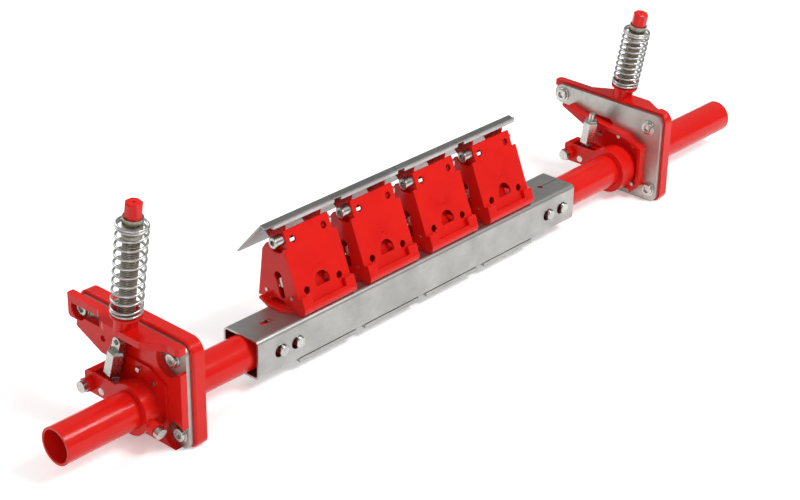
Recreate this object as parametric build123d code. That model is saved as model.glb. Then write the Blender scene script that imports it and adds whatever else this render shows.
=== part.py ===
from build123d import *

import math
import os

# Conveyor belt scraper: four rocking blade modules on a carrier tube, held by two sprung mounts.
# Everything is drawn about the tube axis (X) and moved at the end, so that the origin is the
# middle of the base of the whole scraper. All sizes are millimetres.

# Fits and small clearances
RUNNING_FIT = 0.07
SLIDE_FIT = 0.06
SEAT_GAP = 0.3
SIDE_GAP = 0.5

# Telescoping tubes
TUBE_DIAMETER = 60.3
TUBE_WALL = 4.0
TUBE_BEYOND_LEFT_MOUNT = 180.0
TUBE_BEYOND_RIGHT_MOUNT = 301.0
TUBE_ENGAGEMENT = 190.0

# Carrier box
CARRIER_END_LEFT = 86.4
CARRIER_END_RIGHT = 98.4
CARRIER_WIDTH = 76.0
CARRIER_HEIGHT = 68.0
CARRIER_WALL = 3.5
CARRIER_CORNER = 8.0
CLAMP_BOLT_HEAD = 18.5
CLAMP_BOLT_PROUD = 6.0
CLAMP_BOLT_SHANK = 14.0
CLAMP_BOLT_DEEP = 3.5
CLAMP_SLOT_WIDTH = 20.0
CLAMP_SLOT_LENGTH = 26.0
CLAMP_SLOT_SHIFT = 3.0
CLAMP_BOLTS_LEFT = (52.0, 88.0)
CLAMP_BOLTS_RIGHT = (31.0, 69.0)
KEYHOLE_FROM_END = 42.0
KEYHOLE_LENGTH = 24.0
KEYHOLE_WIDTH = 10.0
KEYHOLE_BOLT = 8.5
SLIT_HOLE_FROM_END = 50.0
SLIT_HOLE = 10.0
SLIT_WIDTH = 1.6
REAR_BOLT_FROM_END = 24.0
REAR_BOLT = 8.0
REAR_BOLT_PROUD = 7.0
STRIP_GAP = 10.8
STRIP_THICKNESS = 7.0
STRIP_WIDTH = 70.0
STRIP_END_SLANT = 9.0

# Blade modules
MODULE_COUNT = 4
HOUSING_WIDTH = 116.0
HOUSING_SHEET = 3.5
HOUSING_TOP_WIDTH = 97.0
HOUSING_LEAN = 22.9
HOUSING_PLATE = 133.5
HOUSING_STEP_DOWN = 28.0
HOUSING_FOOT_Y = -32.0
HOUSING_REAR_FOOT_Y = 67.0
HOUSING_REAR_KNEE_Y = 65.0
HOUSING_REAR_KNEE_UP = 20.0
HOUSING_REAR_TOP_Y = 57.0
HOUSING_REAR_TOP_UP = 90.0
HOUSING_SHOULDER_Y = 48.0
HOUSING_SHOULDER_UP = 103.0
HOUSING_ARCH_Y = 20.0
HOUSING_ARCH_UP = 14.5
HOUSING_ARCH_FRONT_Y = -14.0
REAR_WALL_Y = 58.0
REAR_WALL_FOOT_UP = 16.0
REAR_WALL_HEIGHT = 32.0
HOUSING_ARCH_ROUND = 24.0
HOUSING_SHOULDER_ROUND = 4.0
HOUSING_REAR_TOP_ROUND = 6.0
HOUSING_KNEE_ROUND = 3.0
PLATE_HOLE = 12.5
TOP_HOLE_SPREAD = 34.0
TOP_HOLE_DOWN = 17.0
LOW_HOLE_SPREAD = 36.0
LOW_HOLE_DOWN = 101.0
WINDOW_WIDTH = 31.0
WINDOW_TOP_DOWN = 81.0
WINDOW_HEIGHT = 22.0
DIMPLE_DOWN = 69.0
DIMPLE = 4.0
DIMPLE_DEPTH = 1.0
KEYHOLE_ROUND = 16.0
KEYHOLE_ROUND_Y = 23.0
KEYHOLE_ROUND_UP = 52.5
KEYHOLE_FOOT_Y = 13.0
KEYHOLE_FOOT_UP = 22.0
KEYHOLE_SLOT = 12.0
NOTCH_RADIUS = 19.0
EAR_RADIUS = 14.0
EAR_DEPTH = 52.0
EAR_REACH_Y = 46.0
EAR_TOP_ROUND = 8.0
EAR_REAR_ROUND = 6.0

# Saddle base under each housing
BASE_SHEET = 5.0
BASE_FRONT_WIDTH = 116.0
BASE_GAP = 4.8
BASE_FLARE_FROM_Y = -14.0
BASE_FLARE_TO_Y = 6.0
BASE_TAIL_Y = 50.0
BASE_TAIL_UP = 9.0
BASE_BEND = 6.0
BASE_TAIL_ROUND = 2.0
LIP_BEND = 10.0
LIP_ROUND = 1.0
LIP_SHEET = 8.0
LIP_HEIGHT = 31.0
LIP_NOTCH_WIDTH = 76.0
LIP_NOTCH_DEPTH = 13.0

# Rocker, pin, blade and rubber parts
PIN_ALONG_PLATE = 120.5
PIN_BEHIND_PLATE = 11.5
PIN_DIAMETER = 8.0
PIN_HEAD = 19.0
PIN_HEAD_LENGTH = 18.0
PIN_SOCKET = 9.0
PIN_SOCKET_DEPTH = 6.0
PIN_NUT_FLATS = 15.0
PIN_NUT_LENGTH = 7.0
PIN_HEAD_CHAMFER = 1.2
ROCKER_WIDTH = 82.0
ROCKER_CHEEK = 5.0
ROCKER_HUB = 13.0
ROCKER_SADDLE = 4.0
ROCKER_SADDLE_LENGTH = 58.0
ROCKER_ARM_WIDTH = 28.0
ROCKER_ARM = 6.0
ROCKER_ARM_BEHIND = 12.5
ROCKER_ARM_FOOT = 14.0
ROCKER_CORNER = 3.0
ROCKER_BAR_LOW = 88.0
ROCKER_BAR_HIGH = 110.0
BLADE_SHEET = 3.5
BLADE_LENGTH = 148.0
BLADE_GAP = 0.8
BLADE_SHIFT = -16.0
BLADE_RIDGE_Y = 26.7
BLADE_RIDGE_UP = 151.0
BLADE_STRIP = 10.6
BLADE_STRIP_DROP = 14.0
BLADE_RAMP = 83.0
BLADE_RAMP_DROP = 49.2
TIP_GAP = 10.8
TIP_HEIGHT = 7.0
TIP_DEPTH = 6.0
TIP_CHAMFER = 6.0
TIP_RELIEF = 3.0
CROSS_BOLT_Y = 18.0
CROSS_BOLT_UP = 41.5
CROSS_BOLT = 10.0
CROSS_BOLT_HEAD = 16.0
CROSS_BOLT_HEAD_LENGTH = 6.0
BUFFER_ROLLER = 22.0
BUFFER_ROLLER_LENGTH = 36.0
BUFFER_PAD = 2.0
BUFFER_PAD_HEIGHT = 12.0
RIVET = 6.0
RIVET_HEAD = 1.5
RIVET_REAR_Y = 48.0
RIVET_REAR_UP = 20.5
RIVET_FRONT_Y = -8.0
RIVET_FRONT_UP = 23.5

# Mount plates. In a mount, X runs inboard from the slide plate's outboard face.
MOUNT_LEFT_FROM_CARRIER = 179.0
MOUNT_RIGHT_FROM_CARRIER = 207.0
SLIDE_PLATE = 8.0
PLATE_FRONT_Y = -79.0
PLATE_TOP = 114.0
PLATE_BOTTOM = -58.0
PLATE_LEG_REAR_Y = 27.0
PLATE_ARM_END_Y = 165.0
PLATE_ARM_LOW = 78.0
PLATE_CORNER = 16.0
PLATE_ARM_ROUND = 17.0
PLATE_INNER_ROUND = 12.0
PLATE_FOOT_ROUND = 6.0
BOLT_A = (147.0, 96.0)
BOLT_B = (-52.0, 87.0)
BOLT_C = (-62.0, -34.0)
MOUNT_BOLT = 12.0
MOUNT_BOLT_HEAD = 22.0
MOUNT_BOLT_PROUD = 5.0
WASHER = 27.0
WASHER_THICKNESS = 2.0
BRACKET_WEB = 12.0
BRACKET_ARM_BEYOND = 6.0
BRACKET_FRONT_RIB = 22.0
BRACKET_FRONT_RIB_DEPTH = 20.0
ARM_POCKET_RADIUS = 16.5
ARM_POCKET_FRONT_Y = 98.0
ARM_POCKET_LOW = 86.0
BRACKET_RIM = 4.0
BRACKET_LEG_REAR_Y = 46.0
BRACKET_FLANGE = 12.0
BRACKET_FLANGE_REACH = 36.0
BRACKET_FLANGE_NARROW = 15.0
BRACKET_FLANGE_FRONT_Y = -20.0
BRACKET_FLANGE_REAR_Y = 62.0
BRACKET_TAPER = 34.0
BRACKET_END_ROUND = 6.0
BRACKET_NECK_ROUND = 10.0
BRACKET_FRONT_ROUND = 12.0
GUSSET_REAR_Y = 154.0
GUSSET_REAR_Z = 68.0
GUSSET_TIP_Y = 97.0
GUSSET_TIP_Z = 43.0
GUSSET_ROOT_Y = 62.0
GUSSET_REAR_ROUND = 4.0
GUSSET_TIP_ROUND = 6.0
GUSSET_HOLE = 11.0
GUSSET_HOLE_Y = 92.0
GUSSET_HOLE_Z = 69.0
POCKET_RADIUS = 24.0
BORE_WALL = 3.85
FLANGE_PLATE = 4.0
FLANGE_FRONT_Y = -50.0
FLANGE_REAR_Y = 46.0
FLANGE_TOP = 65.0
FLANGE_BOTTOM = -46.0
FLANGE_CORNER = 18.0
FLANGE_ROUND = 4.0
FLANGE_RING = 80.0
OUTER_RING_LENGTH = 7.5
INNER_FLANGE_PLATE = 6.0
INNER_RING_LENGTH = 14.0
RIB_DEPTH = 17.0
RIB_THICKNESS = 7.0
RIB_END_ROUND = 2.0
RIB_REAR_Y = 124.0
RIB_REAR_Z = 85.0
RIB_KNEE_Y = 87.0
RIB_KNEE_Z = 76.0
FLANGE_SCREW = 7.0
FLANGE_SCREW_PROUD = 3.0
FLANGE_SCREW_TOP = (-25.0, 42.0)
FLANGE_SCREW_LOW = (-30.0, -32.0)
NIPPLE = (5.0, 55.0)
NIPPLE_DIAMETER = 8.0
NIPPLE_PROUD = 6.0
CLAMP_PLATE = 22.0
CLAMP_PLATE_RIM = 6.0
CLAMP_PLATE_CHAMFER = 2.5

# Lever collar on the tube
COLLAR_WIDTH = 22.0
COLLAR_DIAMETER = 82.0
LEVER_WIDTH = 41.0
STOP_LEVER_WIDTH = 32.0
LEVER_TOP = 31.0
LEVER_BOTTOM = -5.0
LEVER_END_Y = 97.0
LEVER_END_ROUND = 7.0
LEVER_STEP_Y = 51.0
CLEVIS_Y = 61.0
CLEVIS_Z = 5.0
CLEVIS_PIN = 12.0
FORK_FRONT_Y = 38.5
FORK_REAR_Y = 79.0
FORK_RELIEF_FRONT_Y = 30.0
FORK_RELIEF_DEPTH = 6.5
LINK_TONGUE = 14.0
LINK_TONGUE_WIDTH = 16.0
SET_BOLT_ANGLE_LEFT = 20.0
SET_BOLT_ANGLE_RIGHT = 144.0
SET_BOLT = 12.0
SET_BOLT_HEAD = 19.0
SET_BOLT_HEAD_LENGTH = 9.0
SET_BOLT_PROUD = 1.0
SET_BOSS = 22.0
SET_BOSS_PROUD = 3.0
LOCK_NUT = 22.0
LOCK_NUT_LENGTH = 9.0
END_BOLT_Y = 86.0
END_BOLT_Z = 10.0

# Spindle, link, spring, sleeve and cap
SPINDLE_INBOARD = -18.5
SPINDLE_TILT = 9.5
SPINDLE_Y_AT_TOP = 30.0
SPINDLE_DIAMETER = 22.0
SPINDLE_BODY = 26.0
SPINDLE_STEP_BELOW_SLEEVE = 11.0
BOSS_DIAMETER = 36.5
BOSS_HEIGHT = 24.0
SPRING_SEAT = 49.0
SPRING_SEAT_THICKNESS = 3.0
SPRING_OUTER = 50.0
SPRING_WIRE = 4.0
SPRING_TURNS = 10.5
SPRING_LENGTH_LEFT = 156.0
SPRING_LENGTH_RIGHT = 115.5
SLEEVE_DIAMETER = 31.0
SLEEVE_LENGTH = 32.0
SLEEVE_ABOVE_SPRING = 9.5
CAP_FLATS = 25.0
CAP_HEIGHT = 24.0
CAP_SIDES = 8
CAP_HOLE = 4.0
CAP_CHAMFER = 2.0
CAP_CEILING = 4.0
SPINDLE_SPARE = 10.0
TONGUE_THICKNESS = 10.0
KNUCKLE_Z = 95.0
KNUCKLE_RADIUS = 8.0
KNUCKLE_PIN = 8.0
LINK_FLATS = 25.0
LINK_HEX_FROM = 29.5
LINK_HEX_LENGTH = 50.0
LINK_NECK_OVERLAP = 1.0
LINK_HEX_CHAMFER = 4.0
LINK_HEX_CHAMFER_INWARD = 2.4
LINK_EYE_RADIUS = 12.5
LINK_EYE_CLEARANCE = 0.5
STOP_ROD_INBOARD = 46.0
STOP_ROD_TILT = 8.0
STOP_ROD_NECK = 11.0
STOP_ROD_NECK_LENGTH = 13.0
BOSS_BOLT_FLATS = 10.0
BOSS_BOLT_HEIGHT = 7.0
BOSS_BOLT_BEHIND = 28.0

# Sizes worked out from the ones above
TUBE_RADIUS = TUBE_DIAMETER / 2
CARRIER_TOP = CARRIER_HEIGHT / 2
MODULE_PITCH = BLADE_LENGTH + BLADE_GAP
STRIP_LENGTH = MODULE_PITCH - STRIP_GAP
TIP_LENGTH = MODULE_PITCH - TIP_GAP
BASE_REAR_WIDTH = MODULE_PITCH - BASE_GAP
CARRIER_LENGTH = CARRIER_END_LEFT + MODULE_COUNT * MODULE_PITCH + CARRIER_END_RIGHT
MOUNT_LEFT = -CARRIER_LENGTH / 2 - MOUNT_LEFT_FROM_CARRIER
MOUNT_RIGHT = CARRIER_LENGTH / 2 + MOUNT_RIGHT_FROM_CARRIER
TUBE_LEFT_END = MOUNT_LEFT - TUBE_BEYOND_LEFT_MOUNT
TUBE_RIGHT_END = MOUNT_RIGHT + TUBE_BEYOND_RIGHT_MOUNT
BUSH_RADIUS = TUBE_RADIUS + BORE_WALL
LEAN_SIN = math.sin(math.radians(HOUSING_LEAN))
LEAN_COS = math.cos(math.radians(HOUSING_LEAN))
HOUSING_FOOT_Z = CARRIER_TOP + BASE_SHEET
MODULE_CENTRES = [
    -CARRIER_LENGTH / 2 + CARRIER_END_LEFT + (index + 0.5) * MODULE_PITCH
    for index in range(MODULE_COUNT)
]
EAR_OUTER_X = HOUSING_TOP_WIDTH / 2
SPINDLE_SIN = math.sin(math.radians(SPINDLE_TILT))
SPINDLE_COS = math.cos(math.radians(SPINDLE_TILT))
BRACKET_TOP = PLATE_TOP + BRACKET_RIM
KNUCKLE_Y = SPINDLE_Y_AT_TOP + (BRACKET_TOP - KNUCKLE_Z) * math.tan(math.radians(SPINDLE_TILT))
LINK_TILT = math.degrees(math.atan2(CLEVIS_Y - KNUCKLE_Y, KNUCKLE_Z - CLEVIS_Z))
LINK_LENGTH = math.hypot(CLEVIS_Y - KNUCKLE_Y, KNUCKLE_Z - CLEVIS_Z)
LINK_INBOARD = SPINDLE_INBOARD - TONGUE_THICKNESS / 2 - SIDE_GAP - TONGUE_THICKNESS / 2
SPRING_LENGTHS = {"left": SPRING_LENGTH_LEFT, "right": SPRING_LENGTH_RIGHT}
SET_BOLT_ANGLES = {"left": SET_BOLT_ANGLE_LEFT, "right": SET_BOLT_ANGLE_RIGHT}
SIDES = ("left", "right")

pieces = {}


# Small shape helpers
def rod_x(start_x, end_x, y, z, radius):
    """Solid cylinder along X."""
    return Pos((start_x + end_x) / 2, y, z) * Cylinder(radius, abs(end_x - start_x), rotation=(0, 90, 0))


def rod_along(plane, start, end, radius):
    """Solid cylinder along a plane's normal, between two heights above the plane."""
    return plane.offset(start) * Cylinder(radius, end - start, align=(Align.CENTER, Align.CENTER, Align.MIN))


def prism_along(plane, start, end, flats, sides=6):
    """Solid regular prism along a plane's normal, given its width across flats."""
    section = RegularPolygon(flats / 2, sides, major_radius=False, rotation=180 / sides)
    return extrude(plane.offset(start) * section, amount=end - start)


def outline_face(points, radii):
    """Closed face through points, with one corner radius for each."""
    return make_face(FilletPolyline(*points, radius=radii, close=True))


def plate_yz(points, radii, start_x, end_x):
    """Flat plate whose outline lies in the YZ plane."""
    return extrude(Plane.YZ.offset(start_x) * outline_face(points, radii), amount=end_x - start_x)


def box_between(low, high):
    """Box between two opposite corners."""
    size = [high[axis] - low[axis] for axis in range(3)]
    middle = [(high[axis] + low[axis]) / 2 for axis in range(3)]
    return Pos(*middle) * Box(*size)


def on_plate(along, behind):
    """Y and Z of a point, given its place along the leaning front plate and behind its outer face."""
    y = HOUSING_FOOT_Y + along * LEAN_SIN + behind * LEAN_COS
    z = HOUSING_FOOT_Z + along * LEAN_COS - behind * LEAN_SIN
    return (y, z)


def front_plane(centre_x, behind=0.0):
    """Plane on the leaning front plate, X across, Y up the plate, Z outward."""
    y, z = on_plate(0, behind)
    return Plane(origin=(centre_x, y, z), x_dir=(1, 0, 0), z_dir=(0, -LEAN_COS, LEAN_SIN))


PIN_Y, PIN_Z = on_plate(PIN_ALONG_PLATE, PIN_BEHIND_PLATE)
CROSS_BOLT_Z = CARRIER_TOP + CROSS_BOLT_UP


# Tubes and carrier
def make_tube(outer_x, inner_x):
    """Round tube between two X values."""
    tube = rod_x(outer_x, inner_x, 0, 0, TUBE_RADIUS)
    return tube - rod_x(outer_x, inner_x, 0, 0, TUBE_RADIUS - TUBE_WALL)


def clamp_bolt_places():
    """X of each clamp bolt on the carrier's front face."""
    left = [-CARRIER_LENGTH / 2 + inset for inset in CLAMP_BOLTS_LEFT]
    right = [CARRIER_LENGTH / 2 - inset for inset in CLAMP_BOLTS_RIGHT]
    return left + right


def make_carrier():
    """Rounded box section with clamp slots, keyhole and slit hole."""
    outer = RectangleRounded(CARRIER_WIDTH, CARRIER_HEIGHT, CARRIER_CORNER)
    inner_width = CARRIER_WIDTH - 2 * CARRIER_WALL
    inner_height = CARRIER_HEIGHT - 2 * CARRIER_WALL
    inner = RectangleRounded(inner_width, inner_height, CARRIER_CORNER - CARRIER_WALL)
    box = extrude(Plane.YZ.offset(-CARRIER_LENGTH / 2) * (outer - inner), amount=CARRIER_LENGTH)
    front = Plane(origin=(0, -CARRIER_WIDTH / 2 - 1, 0), x_dir=(1, 0, 0), z_dir=(0, -1, 0))
    for bolt_x in clamp_bolt_places():
        slot = Pos(bolt_x - CLAMP_SLOT_SHIFT, 0) * SlotOverall(CLAMP_SLOT_LENGTH, CLAMP_SLOT_WIDTH)
        box -= extrude(front * slot, amount=-(CARRIER_WALL + 2))
    top = Plane.XY.offset(CARRIER_TOP + 1)
    keyhole = Pos(-CARRIER_LENGTH / 2 + KEYHOLE_FROM_END + KEYHOLE_LENGTH / 2, 0)
    box -= extrude(top * (keyhole * SlotOverall(KEYHOLE_LENGTH, KEYHOLE_WIDTH)), amount=-(CARRIER_WALL + 2))
    hole_x = CARRIER_LENGTH / 2 - SLIT_HOLE_FROM_END
    slit = Pos(hole_x + SLIT_HOLE_FROM_END / 2, 0) * Rectangle(SLIT_HOLE_FROM_END, SLIT_WIDTH)
    slit_hole = Pos(hole_x, 0) * Circle(SLIT_HOLE / 2)
    box -= extrude(top * (slit_hole + slit), amount=-(CARRIER_WALL + 2))
    rear_x = -CARRIER_LENGTH / 2 + REAR_BOLT_FROM_END
    rear = Plane(origin=(rear_x, 0, 0), x_dir=(1, 0, 0), z_dir=(0, 1, 0))
    box -= rod_along(rear, CARRIER_WIDTH / 2 - CARRIER_WALL - 1, CARRIER_WIDTH / 2 + 1, REAR_BOLT / 2)
    return box


def make_clamp_bolts():
    """Round-head bolts through the front slots, the keyhole bolt and the rear bolt's end."""
    bolts = []
    tube_face = TUBE_RADIUS + SLIDE_FIT
    head_seat = TUBE_RADIUS + CLAMP_BOLT_DEEP
    for bolt_x in clamp_bolt_places():
        plane = Plane(origin=(bolt_x, 0, 0), x_dir=(1, 0, 0), z_dir=(0, -1, 0))
        head = rod_along(plane, head_seat, CARRIER_WIDTH / 2 + CLAMP_BOLT_PROUD, CLAMP_BOLT_HEAD / 2)
        rim = head.faces().sort_by(Axis.Y)[0].edges()
        head = fillet(rim, CLAMP_BOLT_PROUD / 3)
        bolts.append(head + rod_along(plane, tube_face, head_seat, CLAMP_BOLT_SHANK / 2))
    keyhole_x = -CARRIER_LENGTH / 2 + KEYHOLE_FROM_END + KEYHOLE_LENGTH - KEYHOLE_WIDTH / 2
    above = Plane(origin=(keyhole_x, 0, 0), x_dir=(1, 0, 0), z_dir=(0, 0, 1))
    bolts.append(rod_along(above, tube_face, CARRIER_TOP + 1, KEYHOLE_BOLT / 2))
    behind = Plane(origin=(-CARRIER_LENGTH / 2 + REAR_BOLT_FROM_END, 0, 0), x_dir=(1, 0, 0), z_dir=(0, 1, 0))
    bolts.append(rod_along(behind, tube_face, CARRIER_WIDTH / 2 + REAR_BOLT_PROUD, REAR_BOLT / 2))
    return Compound(bolts)


def make_bottom_strips():
    """Clamp strips under the carrier, one below each module."""
    strips = []
    half_width = STRIP_WIDTH / 2
    for centre_x in MODULE_CENTRES:
        left = centre_x - STRIP_LENGTH / 2
        right = centre_x + STRIP_LENGTH / 2
        corners = [
            (left, -half_width),
            (right - STRIP_END_SLANT, -half_width),
            (right, half_width),
            (left + STRIP_END_SLANT, half_width),
        ]
        face = Plane.XY.offset(-CARRIER_TOP) * Polygon(*corners, align=None)
        strips.append(extrude(face, amount=-STRIP_THICKNESS))
    return Compound(strips)


# Blade module pieces
def make_front_plate(centre_x):
    """Leaning front plate with its holes, arch window and dimple."""
    half = HOUSING_WIDTH / 2
    step = HOUSING_PLATE - HOUSING_STEP_DOWN
    points = [
        (-half, 0),
        (half, 0),
        (half, step),
        (EAR_OUTER_X, step),
        (EAR_OUTER_X, HOUSING_PLATE),
        (-EAR_OUTER_X, HOUSING_PLATE),
        (-EAR_OUTER_X, step),
        (-half, step),
    ]
    face = Polygon(*points, align=None)
    for side in (-1, 1):
        face -= Pos(side * TOP_HOLE_SPREAD, HOUSING_PLATE - TOP_HOLE_DOWN) * Circle(PLATE_HOLE / 2)
        face -= Pos(side * LOW_HOLE_SPREAD, HOUSING_PLATE - LOW_HOLE_DOWN) * Circle(PLATE_HOLE / 2)
    arch_centre = HOUSING_PLATE - WINDOW_TOP_DOWN - WINDOW_WIDTH / 2
    window_foot = HOUSING_PLATE - WINDOW_TOP_DOWN - WINDOW_HEIGHT
    window = Pos(0, arch_centre) * Circle(WINDOW_WIDTH / 2)
    above_foot = Pos(0, window_foot + WINDOW_WIDTH / 2) * Rectangle(WINDOW_WIDTH, WINDOW_WIDTH)
    face -= window & above_foot
    plate = extrude(front_plane(centre_x, HOUSING_SHEET) * face, amount=HOUSING_SHEET)
    dimple = front_plane(centre_x) * (Pos(0, HOUSING_PLATE - DIMPLE_DOWN) * Circle(DIMPLE / 2))
    return plate - extrude(dimple, amount=-DIMPLE_DEPTH)


def side_plate_points():
    """Outline of a side plate, front foot first, going up and round to the arch."""
    step = HOUSING_PLATE - HOUSING_STEP_DOWN
    return [
        on_plate(0, 0),
        on_plate(step, 0),
        (HOUSING_SHOULDER_Y, CARRIER_TOP + HOUSING_SHOULDER_UP),
        (HOUSING_REAR_TOP_Y, CARRIER_TOP + HOUSING_REAR_TOP_UP),
        (HOUSING_REAR_KNEE_Y, CARRIER_TOP + HOUSING_REAR_KNEE_UP),
        (HOUSING_REAR_FOOT_Y, HOUSING_FOOT_Z),
        (HOUSING_ARCH_Y, CARRIER_TOP + HOUSING_ARCH_UP),
        (HOUSING_ARCH_FRONT_Y, HOUSING_FOOT_Z),
    ]


def make_housing(centre_x):
    """Bent sheet housing: front plate, two side plates, two inset ears and a low rear wall."""
    housing = make_front_plate(centre_x)
    corner_radii = [
        0,
        0,
        HOUSING_SHOULDER_ROUND,
        HOUSING_REAR_TOP_ROUND,
        HOUSING_KNEE_ROUND,
        0,
        HOUSING_ARCH_ROUND,
        0,
    ]
    keyhole_low = (KEYHOLE_FOOT_Y, CARRIER_TOP + KEYHOLE_FOOT_UP)
    keyhole_high = (KEYHOLE_ROUND_Y, CARRIER_TOP + KEYHOLE_ROUND_UP)
    ear_base_high = on_plate(PIN_ALONG_PLATE - EAR_DEPTH, 0)
    ear_points = [
        ear_base_high,
        on_plate(HOUSING_PLATE, 0),
        (PIN_Y, PIN_Z + EAR_RADIUS),
        (PIN_Y + EAR_RADIUS, PIN_Z),
        (EAR_REACH_Y, PIN_Z - EAR_RADIUS),
        (EAR_REACH_Y, ear_base_high[1]),
    ]
    half = HOUSING_WIDTH / 2
    for side in (-1, 1):
        outer_x = centre_x + side * half
        inner_x = outer_x - side * HOUSING_SHEET
        low_x, high_x = sorted((outer_x, inner_x))
        plate = plate_yz(side_plate_points(), corner_radii, low_x, high_x)
        plate -= rod_x(low_x - 1, high_x + 1, PIN_Y, PIN_Z, NOTCH_RADIUS)
        plate -= rod_x(low_x - 1, high_x + 1, *keyhole_high, KEYHOLE_ROUND / 2)
        slot_line = Line(keyhole_low, keyhole_high)
        turn = math.degrees(math.atan2(keyhole_high[1] - keyhole_low[1], keyhole_high[0] - keyhole_low[0]))
        middle = slot_line @ 0.5
        slot = Plane.YZ.offset(low_x - 1) * (
            Pos(middle.X, middle.Y) * Rot(0, 0, turn) * SlotCenterToCenter(slot_line.length, KEYHOLE_SLOT)
        )
        plate -= extrude(slot, amount=HOUSING_SHEET + 2)
        ear_outer = centre_x + side * EAR_OUTER_X
        ear_inner = ear_outer - side * HOUSING_SHEET
        ear_low, ear_high = sorted((ear_outer, ear_inner))
        ear_radii = [0, 0, EAR_TOP_ROUND, EAR_TOP_ROUND, EAR_REAR_ROUND, 0]
        ear = plate_yz(ear_points, ear_radii, ear_low, ear_high)
        ear -= rod_x(ear_low - 1, ear_high + 1, PIN_Y, PIN_Z, PIN_DIAMETER / 2 + RUNNING_FIT)
        joggle_low, joggle_high = sorted((outer_x, ear_inner))
        joggle = plate_yz(
            [
                on_plate(PIN_ALONG_PLATE - EAR_DEPTH, 0),
                on_plate(PIN_ALONG_PLATE - EAR_DEPTH + HOUSING_SHEET, 0),
                (EAR_REACH_Y, ear_base_high[1] + HOUSING_SHEET),
                (EAR_REACH_Y, ear_base_high[1]),
            ],
            [0, 0, 0, 0],
            joggle_low,
            joggle_high,
        )
        housing += plate
        housing += ear
        housing += joggle
    wall_foot = CARRIER_TOP + REAR_WALL_FOOT_UP
    housing += box_between((centre_x - half, REAR_WALL_Y, wall_foot),
                           (centre_x + half, REAR_WALL_Y + HOUSING_SHEET, wall_foot + REAR_WALL_HEIGHT))
    below = HOUSING_FOOT_Z - BASE_SHEET
    return housing - box_between((centre_x - half - 1, HOUSING_FOOT_Y - 1, below),
                                 (centre_x + half + 1, HOUSING_REAR_FOOT_Y + 1, HOUSING_FOOT_Z))


def make_saddle_base(centre_x):
    """Base sheet with its front lip bent up along the housing and its rear edge curled up."""
    rear_y = CARRIER_WIDTH / 2
    low = CARRIER_TOP
    high = CARRIER_TOP + BASE_SHEET
    lip_top_inner = on_plate(LIP_HEIGHT - BASE_SHEET, 0)
    lip_top_outer = on_plate(LIP_HEIGHT - BASE_SHEET, -LIP_SHEET)
    lip_low_outer = on_plate(-BASE_SHEET / LEAN_COS, -LIP_SHEET)
    points = [
        on_plate(0, 0),
        lip_top_inner,
        lip_top_outer,
        (lip_low_outer[0], low),
        (rear_y - BASE_BEND, low),
        (BASE_TAIL_Y + BASE_SHEET / 2, low + BASE_TAIL_UP),
        (BASE_TAIL_Y, low + BASE_TAIL_UP + BASE_SHEET),
        (rear_y - BASE_BEND, high),
    ]
    radii = [0, LIP_ROUND, LIP_ROUND, LIP_BEND, BASE_BEND, BASE_TAIL_ROUND, BASE_TAIL_ROUND, BASE_BEND]
    half = BASE_REAR_WIDTH / 2
    sheet = plate_yz(points, radii, centre_x - half, centre_x + half)
    front = BASE_FRONT_WIDTH / 2
    front_y = lip_low_outer[0] - BASE_BEND
    plan = [
        (centre_x - front, front_y),
        (centre_x + front, front_y),
        (centre_x + front, BASE_FLARE_FROM_Y),
        (centre_x + half, BASE_FLARE_TO_Y),
        (centre_x + half, BASE_TAIL_Y + 2 * BASE_SHEET),
        (centre_x - half, BASE_TAIL_Y + 2 * BASE_SHEET),
        (centre_x - half, BASE_FLARE_TO_Y),
        (centre_x - front, BASE_FLARE_FROM_Y),
    ]
    keep = extrude(Plane.XY * Polygon(*plan, align=None), amount=CARRIER_TOP + HOUSING_PLATE)
    sheet = sheet & keep
    notch_foot = LIP_HEIGHT - BASE_SHEET - LIP_NOTCH_DEPTH
    notch = Pos(0, notch_foot + LIP_NOTCH_DEPTH) * Rectangle(LIP_NOTCH_WIDTH, 2 * LIP_NOTCH_DEPTH)
    sheet -= extrude(front_plane(centre_x) * notch, amount=2 * LIP_SHEET)
    tail_high = HOUSING_FOOT_Z + 2 * BASE_TAIL_UP
    for side in (-1, 1):
        outer = centre_x + side * (HOUSING_WIDTH / 2 + SIDE_GAP)
        inner = centre_x + side * (HOUSING_WIDTH / 2 - HOUSING_SHEET - SIDE_GAP)
        sheet -= box_between((min(outer, inner), 0, HOUSING_FOOT_Z),
                             (max(outer, inner), BASE_TAIL_Y + 2 * BASE_SHEET, tail_high))
    return sheet


def blade_profile():
    """Ridge, front edge and ramp end of the blade's upper surface, as Y and Z."""
    ridge = (BLADE_RIDGE_Y, CARRIER_TOP + BLADE_RIDGE_UP)
    strip_turn = math.radians(BLADE_STRIP_DROP)
    ramp_turn = math.radians(BLADE_RAMP_DROP)
    front = (ridge[0] - BLADE_STRIP * math.cos(strip_turn), ridge[1] - BLADE_STRIP * math.sin(strip_turn))
    end = (ridge[0] + BLADE_RAMP * math.cos(ramp_turn), ridge[1] - BLADE_RAMP * math.sin(ramp_turn))
    return front, ridge, end


def below_ramp(along, depth):
    """Point a distance down the ramp from the ridge and a depth below its upper surface."""
    turn = math.radians(BLADE_RAMP_DROP)
    ridge = blade_profile()[1]
    y = ridge[0] + along * math.cos(turn) - depth * math.sin(turn)
    z = ridge[1] - along * math.sin(turn) - depth * math.cos(turn)
    return (y, z)


def ridge_below(depth):
    """Point under the ridge where the strip and the ramp meet at a depth."""
    strip_turn = math.radians(BLADE_STRIP_DROP)
    half_turn = (math.radians(BLADE_RAMP_DROP) + strip_turn) / 2
    lean = (math.radians(BLADE_RAMP_DROP) - strip_turn) / 2
    ridge = blade_profile()[1]
    reach = depth / math.cos(half_turn)
    return (ridge[0] - reach * math.sin(lean), ridge[1] - reach * math.cos(lean))


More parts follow.
